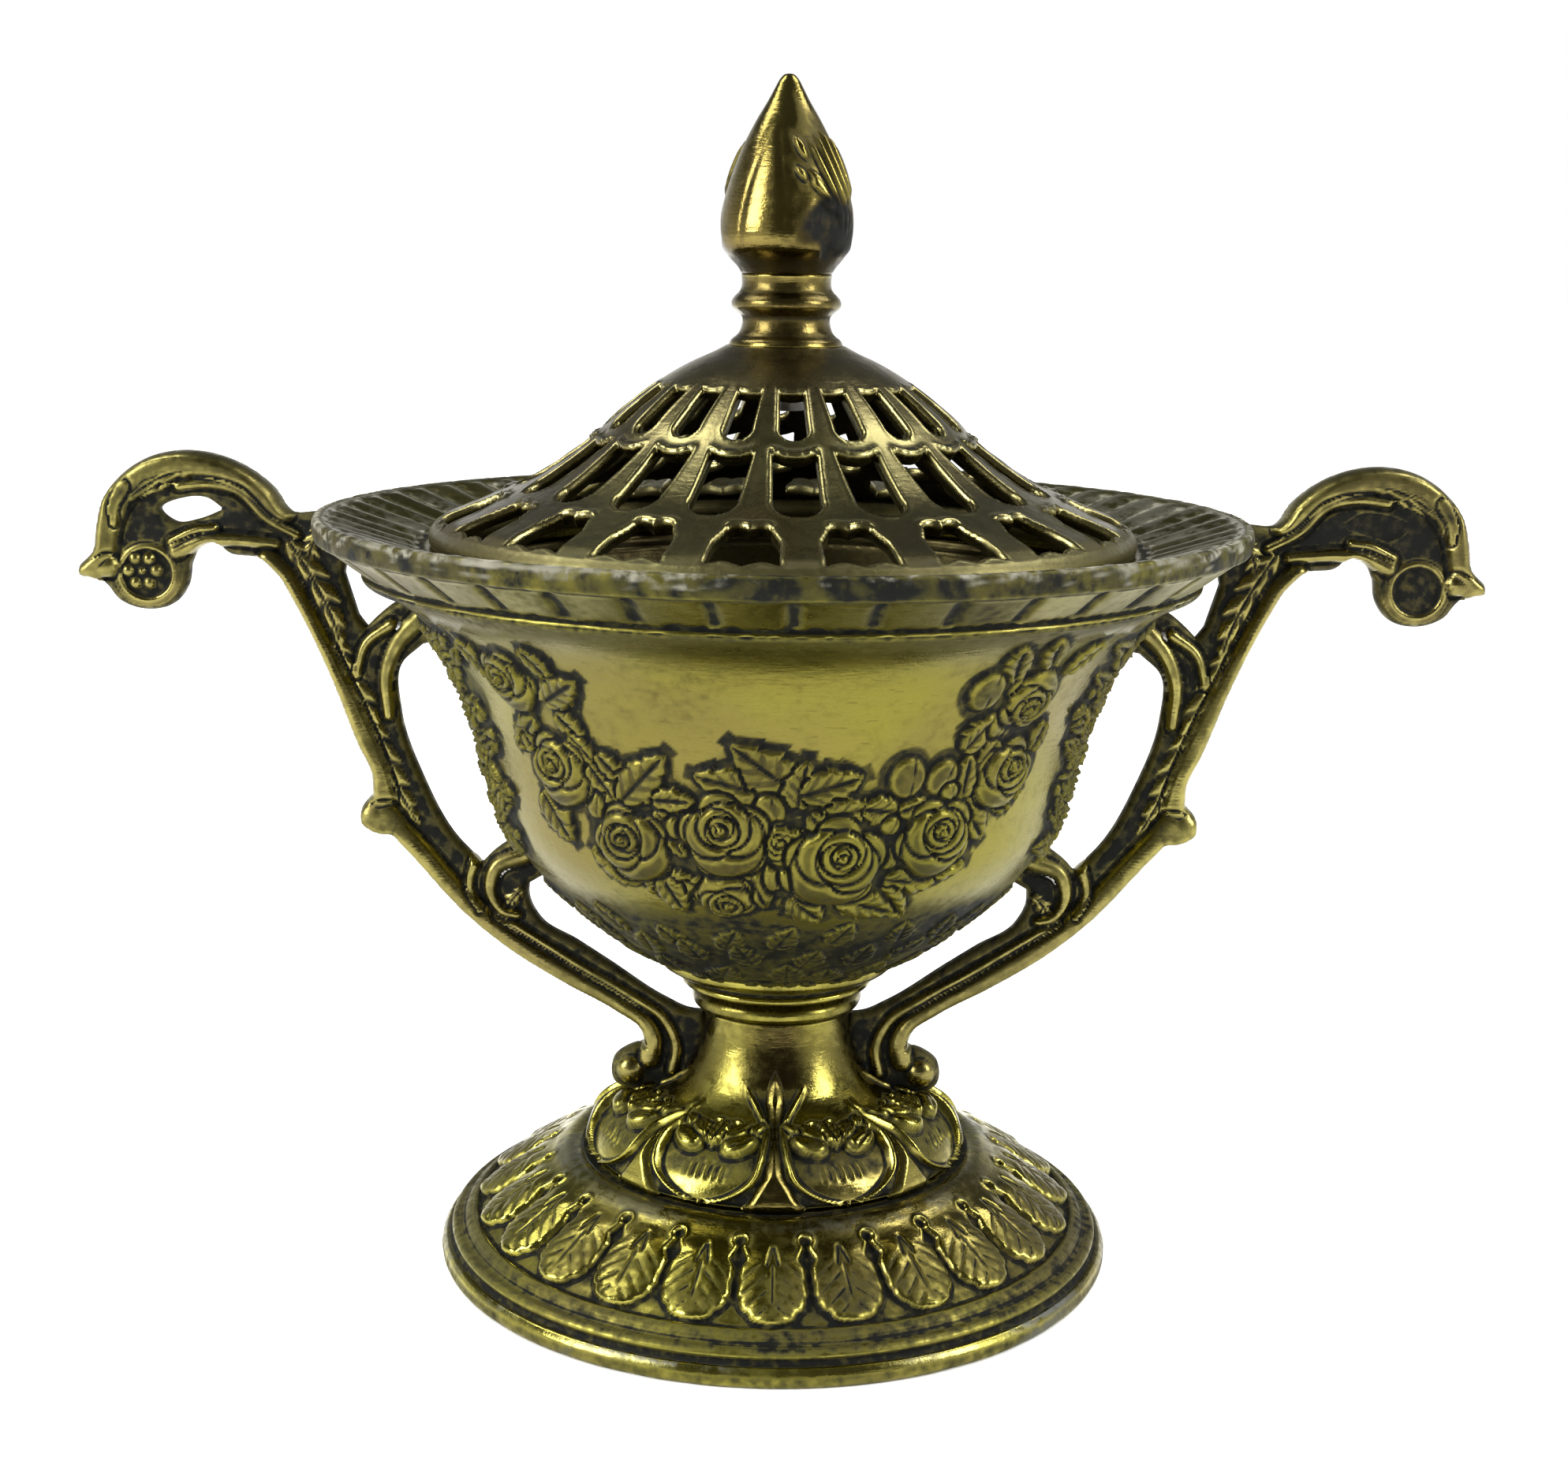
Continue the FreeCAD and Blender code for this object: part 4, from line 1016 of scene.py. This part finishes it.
def make_finial():
    """Stepped neck and a pointed bud half wrapped by a folded leaf over a dark hollow."""
    collar = outline(
        (2.0, 101.0), ("line", 1.2, (6.1, 101.0)),
        ("curve", 0.2, (5.9, 101.5), (5.1, 102.2), (4.7, 103.2), (4.7, 104.0), (5.2, 104.5), (5.75, 105.0),
         (5.8, 105.6), (5.4, 106.2), (4.9, 106.7), (4.7, 107.6), (4.8, 108.4)),
        ("line", 1.2, (2.0, 108.4), (2.0, 101.0)),
    )
    make_turned_ring("finial_neck", "finial_collar", "lid", "brass_lid", FINIAL_BRASS, collar, 12)
    profile = outline(
        (0.02, 108.4), ("line", 1.0, (4.7, 108.4)),
        ("curve", 0.2, (5.2, 109.2), (6.1, 110.1), (6.9, 111.0), (7.2, 112.2), (7.15, 113.6), (6.7, 115.9),
         (5.9, 118.6), (4.7, 121.6), (3.3, 124.3), (2.1, 126.3), (1.4, 127.6), (1.0, 128.3), (0.5, 128.8),
         (0.02, 128.9)),
    )
    finial = Turned(profile, FINIAL_COLUMNS, closed=False)
    for facing in (0, 180):
        for swing, place, tip_swing, tip_place, width in FINIAL_PLUMES:
            start, end = (facing + swing, *place), (facing + tip_swing, *tip_place)
            finial.lay(start, end, lambda length: bud(1.1 * length, width, 0.55), 0.5)
    finial.height = np.minimum(finial.height, 0.6) * smoothstep(128.4, 126.0, finial.level)
    azimuth, level = finial.azimuth[None, :], finial.level
    edge_noise = 0.26 * round_ripples(51, azimuth, 7, level, scale=1.3)
    hollow = np.zeros_like(finial.height)
    for facing in (0, math.pi):
        swing = swing_from(azimuth - facing, math.radians(HOLLOW_AZIMUTH)) * 7.0
        swing = swing + 0.35 * (level - HOLLOW_LEVEL)
        reach = np.hypot(swing / HOLLOW_HALF, (level - HOLLOW_LEVEL) / HOLLOW_RISE)
        hollow = np.maximum(hollow, smoothstep(1.15, 0.25, reach + edge_noise))
        # A soft facet left of the plumes, with a crease along each side of it
        facet = swing_from(azimuth - facing, math.radians(FACET_AZIMUTH)) * finial.radius
        crease = ridge(np.abs(facet) - 2.6 * smoothstep(128, 112, level), 0.4)
        finial.height -= 0.07 * crease * smoothstep(110.5, 112.0, level) * smoothstep(125, 121, level)
    finial.height -= 0.5 * hollow * smoothstep(0.0, 0.5, finial.nearest)
    finial.height *= smoothstep(109.0, 110.5, level)
    shade = smoothstep(0.7, 0.1, finial.nearest + 2 * edge_noise) * smoothstep(-0.3, 0.0, finial.nearest)
    # The hollow is painted near black, with lighter patches
    hollow_darkness = 1.1 - 0.2 * smoothstep(0.1, 0.8, round_ripples(52, azimuth, 7, level, scale=0.7))
    # Painted shade: the turned-under foot of the bud is darkened
    underside = 0.6 * smoothstep(110.8, 109.6, level)
    in_hollow = hollow_darkness * smoothstep(0.04, 0.75, hollow)
    soot = strongest(finial.height, 0.6 * shade, in_hollow, underside, 0.7 * finial.line)
    # Painted shade: the bud browns downwards, most under its widest part; the hollow browns too
    brown = 0.12 + 0.2 * smoothstep(117.0, 113.0, level) + 0.5 * smoothstep(112.2, 110.6, level)
    brown = np.maximum(brown, 0.85 * smoothstep(0.0, 0.5, hollow))
    finial.cast("finial_bud", "lid", "brass_lid", FINIAL_BRASS, "finial", soot=soot, brown=brown)


# ---------------------------------------------------------------- handles

HANDLE_CELL = 0.22
HANDLE_HALF = 2.5


def handle_silhouette():
    """Side view of the +X handle, without the window under its scroll."""
    return outline(
        (48.5, 81.0),
        ("line", 1.0, (50.4, 82.6)),
        ("curve", 0.3, (53.0, 82.6), (54.8, 85.0), (57.7, 87.3), (60.9, 88.6), (64.5, 89.0), (68.0, 88.3),
         (71.0, 86.4), (73.1, 83.8), (73.9, 80.9), (74.4, 78.2), (76.0, 76.5)),
        ("line", 0.4, (76.0, 75.4)),
        ("curve", 0.3, (73.3, 74.6), (71.8, 72.8), (68.6, 71.8), (65.9, 72.5), (64.4, 74.5), (64.0, 76.8)),
        ("curve", 0.3, (63.2, 78.3), (61.4, 79.1), (59.6, 78.0), (56.5, 77.5), (54.2, 75.3)),
        ("curve", 0.4, (52.1, 71.3), (49.0, 64.3), (46.4, 57.3), (44.9, 53.8), (44.8, 51.6)),
        ("curve", 0.3, (46.1, 49.9), (46.2, 48.4), (44.9, 47.3), (42.7, 46.9)),
        ("curve", 0.4, (40.8, 44.8), (34.4, 37.7), (30.0, 34.1), (24.0, 30.3), (17.9, 26.9), (15.4, 25.0),
         (14.8, 23.2)),
        ("curve", 0.3, (16.6, 22.6), (18.3, 21.2), (18.2, 18.6), (16.4, 17.6), (13.2, 17.6)),
        ("line", 1.0, (9.0, 18.2), (8.3, 22.0), (7.8, 25.0), (8.2, 26.9)),
        ("curve", 0.4, (9.8, 27.1), (12.4, 28.3), (18.9, 32.6), (22.4, 34.9), (26.4, 37.4), (27.7, 40.0),
         (27.7, 41.6)),
        ("line", 0.6, (26.0, 42.6), (26.0, 45.2)),
        ("curve", 0.4, (29.0, 46.6), (31.4, 45.3), (32.9, 43.8)),
        ("curve", 0.4, (35.6, 46.6), (39.3, 53.5), (41.6, 60.8), (41.5, 66.0), (39.0, 68.4)),
        ("line", 0.8, (37.0, 68.8), (39.5, 73.6)),
        ("curve", 0.4, (41.4, 73.2), (43.7, 71.6), (45.1, 70.2)),
        ("line", 0.5, (46.0, 71.4), (47.4, 76.0), (47.0, 78.4), (48.5, 81.0)),
    )


def scroll_window():
    """The opening under the scroll's hood."""
    return outline(
        (60.2, 82.8),
        ("curve", 0.3, (62.0, 84.0), (64.7, 83.9), (67.1, 82.7), (65.4, 81.3), (63.2, 81.6), (60.2, 82.8)),
    )


def distance_to(points, loop):
    """Distance from each point to a closed loop's edges, and whether it lies inside."""
    start, end = loop, np.roll(loop, -1, 0)
    nearest = np.full(len(points), 1e9)
    inside = np.zeros(len(points), bool)
    for a, b in zip(start, end):
        line = b - a
        square = float(line @ line)
        if square < 1e-12:
            continue
        offset = points - a
        t = np.clip(offset @ line / square, 0, 1)
        nearest = np.minimum(nearest, np.hypot(offset[:, 0] - t * line[0], offset[:, 1] - t * line[1]))
        crosses = (a[1] > points[:, 1]) != (b[1] > points[:, 1])
        if abs(line[1]) > 1e-12:
            at = a[0] + (points[:, 1] - a[1]) * line[0] / line[1]
            inside ^= crosses & (points[:, 0] < at)
    return nearest, inside


def distance_to_line(points, path):
    """Distance from each point to an open path, and how far along it the nearest place is."""
    nearest = np.full(len(points), 1e9)
    reached = np.zeros(len(points))
    run = 0.0
    for a, b in zip(path, path[1:]):
        line = b - a
        size = float(np.linalg.norm(line))
        offset = points - a
        t = np.clip(offset @ line / size**2, 0, 1)
        away = np.hypot(offset[:, 0] - t * line[0], offset[:, 1] - t * line[1])
        closer = away < nearest
        nearest = np.where(closer, away, nearest)
        reached = np.where(closer, run + t * size, reached)
        run += size
    return nearest, reached


def along_path(points, path):
    """Distance from each point to a smooth path, how far along it that is, and the path's length."""
    line = np.vstack([spline(path, 0.4), [path[-1]]])
    away, run = distance_to_line(points, line)
    return away, run, np.sum(np.linalg.norm(np.diff(line, axis=0), axis=1))


def band(half, soot, points, path, width, tall, dirt):
    """Lays a round ridge along a path over the web; its width runs from one value to another."""
    away, run, total = along_path(points, path)
    first, last = width
    wide = first + (last - first) * run / total
    arch = np.sqrt(np.clip(1 - (away / wide) ** 2, 0, 1))
    on = away < wide
    fade = smoothstep(wide + 0.45, wide, away)
    half = half - 0.35 * fade * ~on
    half = np.where(on, np.maximum(half, 0.9 + (tall - 0.9) * arch), half)
    return half, np.where(on, dirt + (0.6 - dirt) * (1 - arch) ** 2, soot)


def veined(half, soot, points, path, width, tall, spacing):
    """A leaf along a path: two slanting rows of veins off a midrib."""
    away, run, total = along_path(points, path)
    share = run / total
    wide = width * np.sin(math.pi * np.clip(0.12 + 0.88 * share, 0, 1)) ** 0.6
    wide = wide * (0.85 + 0.2 * ((run / spacing) % 1))
    on = (away < wide) & (share > 0.001) & (share < 0.999)
    cut = ridge(((run - 0.9 * away) / spacing) % 1 - 0.5, 0.2) * smoothstep(0.1, 0.4, away)
    cut = np.maximum(cut, ridge(away, 0.16))
    high = tall - 0.45 * (away / np.maximum(wide, 0.1)) ** 2 - 0.3 * cut
    return np.where(on, np.maximum(half, high), half), np.where(on, 0.15 + 0.75 * cut, soot)


def disc(half, soot, points, centre, radius, tall, dirt=0.0):
    """A round boss."""
    away = np.hypot(points[:, 0] - centre[0], points[:, 1] - centre[1])
    arch = np.sqrt(np.clip(1 - (away / radius) ** 2, 0, 1))
    on = away < radius
    half = np.where(on, np.maximum(half, 0.8 + (tall - 0.8) * arch), half)
    return half, np.where(on, dirt + (0.7 - dirt) * (1 - arch) ** 2, soot)


# Ridges of the handle's relief: a path, its half width (from, to), its height and how sooty it is
HANDLE_BANDS = [
    ([(54, 83), (55.8, 84.6), (58.5, 86.3), (61.3, 87.4), (64.5, 87.7), (67.5, 87), (70.1, 85.3),
      (71.9, 83), (72.8, 80.5), (73.3, 78), (74.6, 76)], (1.75, 1.6), 2.5, 0.4),
    ([(52.2, 80.2), (55.3, 81.9), (58.4, 84.9), (61.8, 85.6), (64.7, 85.3)], (0.55, 0.7), 2.1, 0.1),
    ([(65.5, 79.1), (63, 80.5), (61.1, 80.8)], (0.9, 0.6), 2.1, 0.1),
    ([(65.3, 78.2), (62.8, 79.3), (59.8, 79.6), (56.5, 79.4), (54.5, 79.2)], (0.9, 0.7), 2.2, 0.1),
    ([(70.6, 85.2), (71.6, 83), (71.6, 81.2)], (0.8, 0.4), 2.4, 0.3),
    ([(72.6, 76.6), (74.2, 76.2), (75.9, 75.9)], (1.4, 0.55), 2.4, 0.0),
    ([(55.4, 77.2), (53.6, 75.4), (52, 72.2), (50.2, 68.4), (48.6, 64.8), (46.9, 61), (45.5, 57.4),
      (44.3, 54), (43.7, 51.6)], (1.5, 1.9), 2.45, 0.0),
    ([(43.4, 49.4), (42, 47.6), (40.1, 45.5), (33.8, 38.6), (29.4, 35.2), (23.5, 31.4), (17.8, 28.1),
      (14.9, 25.7), (13.9, 23.4), (14.2, 21.6)], (1.8, 1.3), 2.4, 0.05),
    ([(31.1, 38.2), (26.4, 35.2), (21.7, 32.2), (16.4, 29.0), (12.6, 26.2), (11.2, 23.0), (11.6, 20.2)],
     (0.5, 0.7), 1.9, 0.15),
    ([(42.8, 60.6), (42.9, 65.5), (41.2, 69.2), (39.0, 71.4)], (0.7, 1.1), 1.9, 0.25),
    ([(42.3, 70.6), (45.0, 68.6), (46.2, 65.0)], (0.7, 0.5), 1.9, 0.25),
    ([(28, 45), (31.2, 43.6), (31.9, 41.0), (30.4, 38.6), (28.9, 38.2)], (1.1, 0.6), 2.1, 0.15),
    ([(33.4, 44.6), (34.2, 41.6), (33.0, 39.0)], (0.7, 0.4), 1.9, 0.2),
]
# Veined leaves: a path from foot to tip, its half width, height and the spacing of the veins
HANDLE_LEAVES = [
    ([(53.0, 79.6), (50.6, 75.6), (48.6, 71.4), (47.6, 68.0)], 1.7, 2.1, 3.0),
    ([(48.3, 68.8), (46.8, 65.0), (45.0, 61.0), (43.9, 57.6)], 1.5, 2.0, 2.9),
    ([(44.2, 59.4), (42.9, 55.6), (41.6, 52.0), (39.6, 48.2)], 1.4, 1.95, 2.8),
    ([(63.0, 87.3), (66.5, 86.2), (70.2, 83.8)], 1.3, 2.5, 2.6),
    ([(49.4, 81.2), (50.6, 79.0), (51.2, 76.6)], 1.2, 2.0, 1.2),
    ([(28.4, 41.2), (29.8, 39.2), (28.4, 36.9)], 0.9, 1.9, 1.0),
]
BALL_CENTRE = (68.5, 75.8)
ROSETTE_CENTRE = (69.0, 76.1)
VOLUTE_CENTRE = (16.3, 20.2)
WEB_HALF = 1.0


def handle_relief(points, edge, window_gap, pierced):
    """Half thickness of the handle at each point of its side view, and where it is sooty or painted dark as
    shade.
    """
    rounded = np.sqrt(np.clip(1 - (1 - np.clip(edge / 1.1, 0, 1)) ** 2, 0, 1))
    half = 0.55 + 0.85 * rounded
    soot = np.full(len(points), 0.95)
    for path, spine_width, tall, spacing in HANDLE_LEAVES:
        half, soot = veined(half, soot, points, path, spine_width, tall, spacing)
    for path, width, tall, dirt in HANDLE_BANDS:
        half, soot = band(half, soot, points, path, width, tall, dirt)
    half, soot = disc(half, soot, points, BALL_CENTRE, 3.7, 2.2, 0.1)
    half, soot = disc(half, soot, points, (44.2, 48.9), 2.3, 2.45)
    half, soot = disc(half, soot, points, VOLUTE_CENTRE, 1.75, 2.45)
    away = np.hypot(points[:, 0] - BALL_CENTRE[0], points[:, 1] - BALL_CENTRE[1])
    dish = smoothstep(2.9, 2.4, away)
    half = half - 0.75 * dish
    soot = np.maximum(soot, 0.85 * dish)
    if pierced:
        for step in range(6):
            angle = TURN * step / 6
            place = (ROSETTE_CENTRE[0] + 1.5 * math.cos(angle), ROSETTE_CENTRE[1] + 1.5 * math.sin(angle))
            half, soot = disc(half, soot, points, place, 0.82, 1.95, 0.3)
        half, soot = disc(half, soot, points, ROSETTE_CENTRE, 0.5, 2.1)
    else:
        # Painted shade: the scroll's opening is closed by a thin web painted fully dark
        closed = smoothstep(0.25, -0.35, window_gap)
        half = half + (WEB_HALF - half) * closed
        soot = np.maximum(soot, closed)
    grain = ripples(41, points[:, 0], points[:, 1], scale=0.8)
    limit = 0.55 + 1.95 * np.sqrt(np.clip(1 - (1 - np.clip(edge / 1.0, 0, 1)) ** 2, 0, 1))
    patches = 0.35 * smoothstep(0.2, 0.9, ripples(42, points[:, 0], points[:, 1], scale=1.6))
    soot = np.clip(soot + patches, 0, 1)
    return np.minimum(np.minimum(half, limit) + 0.03 * grain * rounded, HANDLE_HALF), soot


def make_handle(name, side, pierced):
    """One handle, from a relief over its side view; the back is the front mirrored."""
    loop, window = handle_silhouette(), scroll_window()
    low, high = loop.min(0) - 1, loop.max(0) + 1
    xs = np.arange(low[0], high[0], HANDLE_CELL)
    zs = np.arange(low[1], high[1], HANDLE_CELL)
    grid = np.stack(np.meshgrid(xs, zs, indexing="ij"), -1)
    flat = grid.reshape(-1, 2)

    def window_gap(points):
        hole, in_hole = distance_to(points, window)
        return np.where(in_hole, -hole, hole)

    def signed(points):
        outer, within = distance_to(points, loop)
        outer = np.where(within, outer, -outer)
        return np.minimum(outer, window_gap(points)) if pierced else outer

    inside = signed(flat).reshape(grid.shape[:2])
    centre = (inside[:-1, :-1] + inside[1:, :-1] + inside[:-1, 1:] + inside[1:, 1:]) / 4
    solid = centre > 0
    corner = cells_round(solid, wrapped=False)
    on_edge = (corner > 0) & (corner < 4)
    moved = grid.copy()
    for _ in range(DRAWS):
        spots = moved[on_edge]
        here = signed(spots)
        slope = np.stack([signed(spots + np.array(d) * PROBE) - here for d in ((1, 0), (0, 1))], 1) / PROBE
        steep = np.maximum((slope**2).sum(1), 0.3)[:, None]
        moved[on_edge] = spots - np.clip(here[:, None] / steep, -HANDLE_DRAW, HANDLE_DRAW) * slope
    used = corner > 0
    number = np.cumsum(used.ravel()).reshape(used.shape) - 1
    spots = moved[used]
    edge = np.where(on_edge[used], 0, np.maximum(inside[used], 0))
    half, soot = handle_relief(spots, edge, window_gap(spots), pierced)
    count = len(spots)
    i, j = np.nonzero(solid)
    quads = np.stack([number[i, j], number[i + 1, j], number[i + 1, j + 1], number[i, j + 1]], 1)
    walls = walls_along(open_edges(quads, count), count)
    front = np.stack([side * spots[:, 0], -half, spots[:, 1]], 1)
    back = np.stack([side * spots[:, 0], half, spots[:, 1]], 1)
    faces = np.vstack([quads, quads[:, ::-1] + count, walls])
    if side < 0:
        faces = faces[:, ::-1]
    make_piece(name + "_casting", np.vstack([front, back]), faces, "vessel", "brass_handle",
               HANDLE_BRASS, name, soot=np.concatenate([soot, soot]))


# ---------------------------------------------------------------- hardware that keeps its CAD shape


def dress_cad_nodes():
    """Materials of the pieces whose CAD shape is the finished one."""
    looks = {"burner_pan": PAN_BRASS}
    for node in ("handle_rivets", "clamp_disc", "rod_washer_bottom", "rod_nut_bottom", "rod_washer_top",
                 "rod_nut_top", "tie_rod", "finial_stud", "finial_washer", "finial_nut"):
        looks[node] = STEEL
    for node, material in looks.items():
        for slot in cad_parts[node].material_slots:
            slot.material = material


# ---------------------------------------------------------------- stage

CAMERA_PLACE = Vector((0.0, -250.24, 110.98)) * MM
CAMERA_PITCH = 11.74
CAMERA_YAW = 0.095
CAMERA_ROLL = 0.829
CAMERA_LENS = 53.37
SENSOR_WIDTH = 36
# The stage, in metres and watts. A lamp has a place, the level it aims at on the axis, a size and a power
FLOOR_HALF = 6.0
CARD_HALF, CARD_FRONT, CARD_TOP = 0.45, -0.8, 1.0
LAMPS = {
    "left": ((-0.68, -0.36, 0.42), 0.07, (0.34, 0.5), 7.6),
    "right": ((0.72, -0.28, 0.48), 0.06, (0.30, 0.5), 6.0),
    "above_left": ((-0.52, 0.15, 0.80), 0.06, (0.35, 0.45), 3.4),
    "above_right": ((0.52, 0.20, 0.80), 0.06, (0.35, 0.45), 3.0),
}
FLOOR_SUN = 3.6
SUN_SPREAD = math.radians(120)
# The world's light, white up to one height of its sphere and dark above another
WHITE_TO, WORLD_WHITE = 0.12, (1.0, 1.0, 1.0, 1)
DARK_FROM, WORLD_DARK = 0.42, (0.11, 0.115, 0.12, 1)


def make_camera():
    """The camera, from its place and its pitch, yaw and roll."""
    pitch, yaw, roll = (math.radians(angle) for angle in (CAMERA_PITCH, CAMERA_YAW, CAMERA_ROLL))
    forward = Vector((math.sin(yaw) * math.cos(pitch), math.cos(yaw) * math.cos(pitch), -math.sin(pitch)))
    level_right = Vector((math.cos(yaw), -math.sin(yaw), 0))
    level_up = level_right.cross(forward)
    right = level_right * math.cos(roll) + level_up * math.sin(roll)
    up = level_up * math.cos(roll) - level_right * math.sin(roll)
    turn = Matrix((right, up, -forward)).transposed()
    data = bpy.data.cameras.new("camera")
    data.lens = CAMERA_LENS
    data.sensor_width = SENSOR_WIDTH
    data.clip_start = 0.01
    camera = bpy.data.objects.new("camera", data)
    camera.matrix_world = Matrix.Translation(CAMERA_PLACE) @ turn.to_4x4()
    bpy.context.collection.objects.link(camera)
    bpy.context.scene.camera = camera


def stage_sheet(name, corners, cloud, light, dark, rough):
    """A flat sheet of the stage, faintly clouded between two tones."""
    nodes = Nodes(name)
    shade = nodes.mix(nodes.noise(*cloud), light, dark)
    nodes.put(nodes.shader.inputs["Base Color"], shade)
    nodes.shader.inputs["Roughness"].default_value = rough
    mesh = bpy.data.meshes.new(name)
    mesh.from_pydata(corners, [], [(0, 1, 2, 3)])
    mesh.materials.append(nodes.material)
    sheet = bpy.data.objects.new(name, mesh)
    bpy.context.collection.objects.link(sheet)
    return sheet


def make_floor():
    """A wide pale floor."""
    half = FLOOR_HALF
    corners = [(-half, -half, 0), (half, -half, 0), (half, half, 0), (-half, half, 0)]
    stage_sheet("floor", corners, (8, 3), (0.86, 0.86, 0.85), (0.9, 0.9, 0.89), 0.8)


def area_light(name, place, level, size, power):
    """A soft rectangular lamp that aims at the axis."""
    data = bpy.data.lights.new(name, "AREA")
    data.shape = "RECTANGLE"
    data.size, data.size_y = size
    data.energy = power
    lamp = bpy.data.objects.new(name, data)
    direction = Vector((0, 0, level)) - Vector(place)
    lamp.matrix_world = Matrix.Translation(place) @ direction.to_track_quat("-Z", "Y").to_matrix().to_4x4()
    bpy.context.collection.objects.link(lamp)


def make_card():
    """A dark card in front, out of the camera's sight, for a dark stripe down the polished metal."""
    low = [(-CARD_HALF, CARD_FRONT, 0), (CARD_HALF, CARD_FRONT, 0)]
    corners = [*low, (CARD_HALF, CARD_FRONT, CARD_TOP), (-CARD_HALF, CARD_FRONT, CARD_TOP)]
    card = stage_sheet("dark_card", corners, (5, 2), (0.03, 0.03, 0.03), (0.05, 0.045, 0.04), 0.9)
    card.visible_camera = False
    card.visible_shadow = False
    card.visible_diffuse = False


def make_light():
    """Soft studio light: two boxes in front, two weak ones above, and a sun for the floor."""
    for name, lamp in LAMPS.items():
        area_light(name, *lamp)
    data = bpy.data.lights.new("overhead", "SUN")
    data.energy = FLOOR_SUN
    data.angle = SUN_SPREAD
    sun = bpy.data.objects.new("overhead", data)
    sun.visible_glossy = False
    bpy.context.collection.objects.link(sun)
    make_card()
    world = bpy.data.worlds.new("world")
    bpy.context.scene.world = world
    world.use_nodes = True
    tree = world.node_tree
    place = tree.nodes.new("ShaderNodeTexCoord")
    split = tree.nodes.new("ShaderNodeSeparateXYZ")
    tree.links.new(place.outputs["Generated"], split.inputs[0])
    ramp = tree.nodes.new("ShaderNodeValToRGB")
    tree.links.new(split.outputs["Z"], ramp.inputs[0])
    tones = ((WHITE_TO, WORLD_WHITE), (DARK_FROM, WORLD_DARK))
    for element, (position, colour) in zip(ramp.color_ramp.elements, tones):
        element.position = position
        element.color = colour
    tree.links.new(ramp.outputs[0], tree.nodes["Background"].inputs["Color"])
    tree.nodes["Background"].inputs["Strength"].default_value = 1.0
    bpy.context.scene.view_settings.view_transform = "Standard"


make_bowl()
make_rim()
make_foot()
make_pedestal()
make_neck()
make_lid()
make_finial()
make_handle("handle_right", 1, False)
make_handle("handle_left", -1, True)
dress_cad_nodes()
make_camera()
make_floor()
make_light()
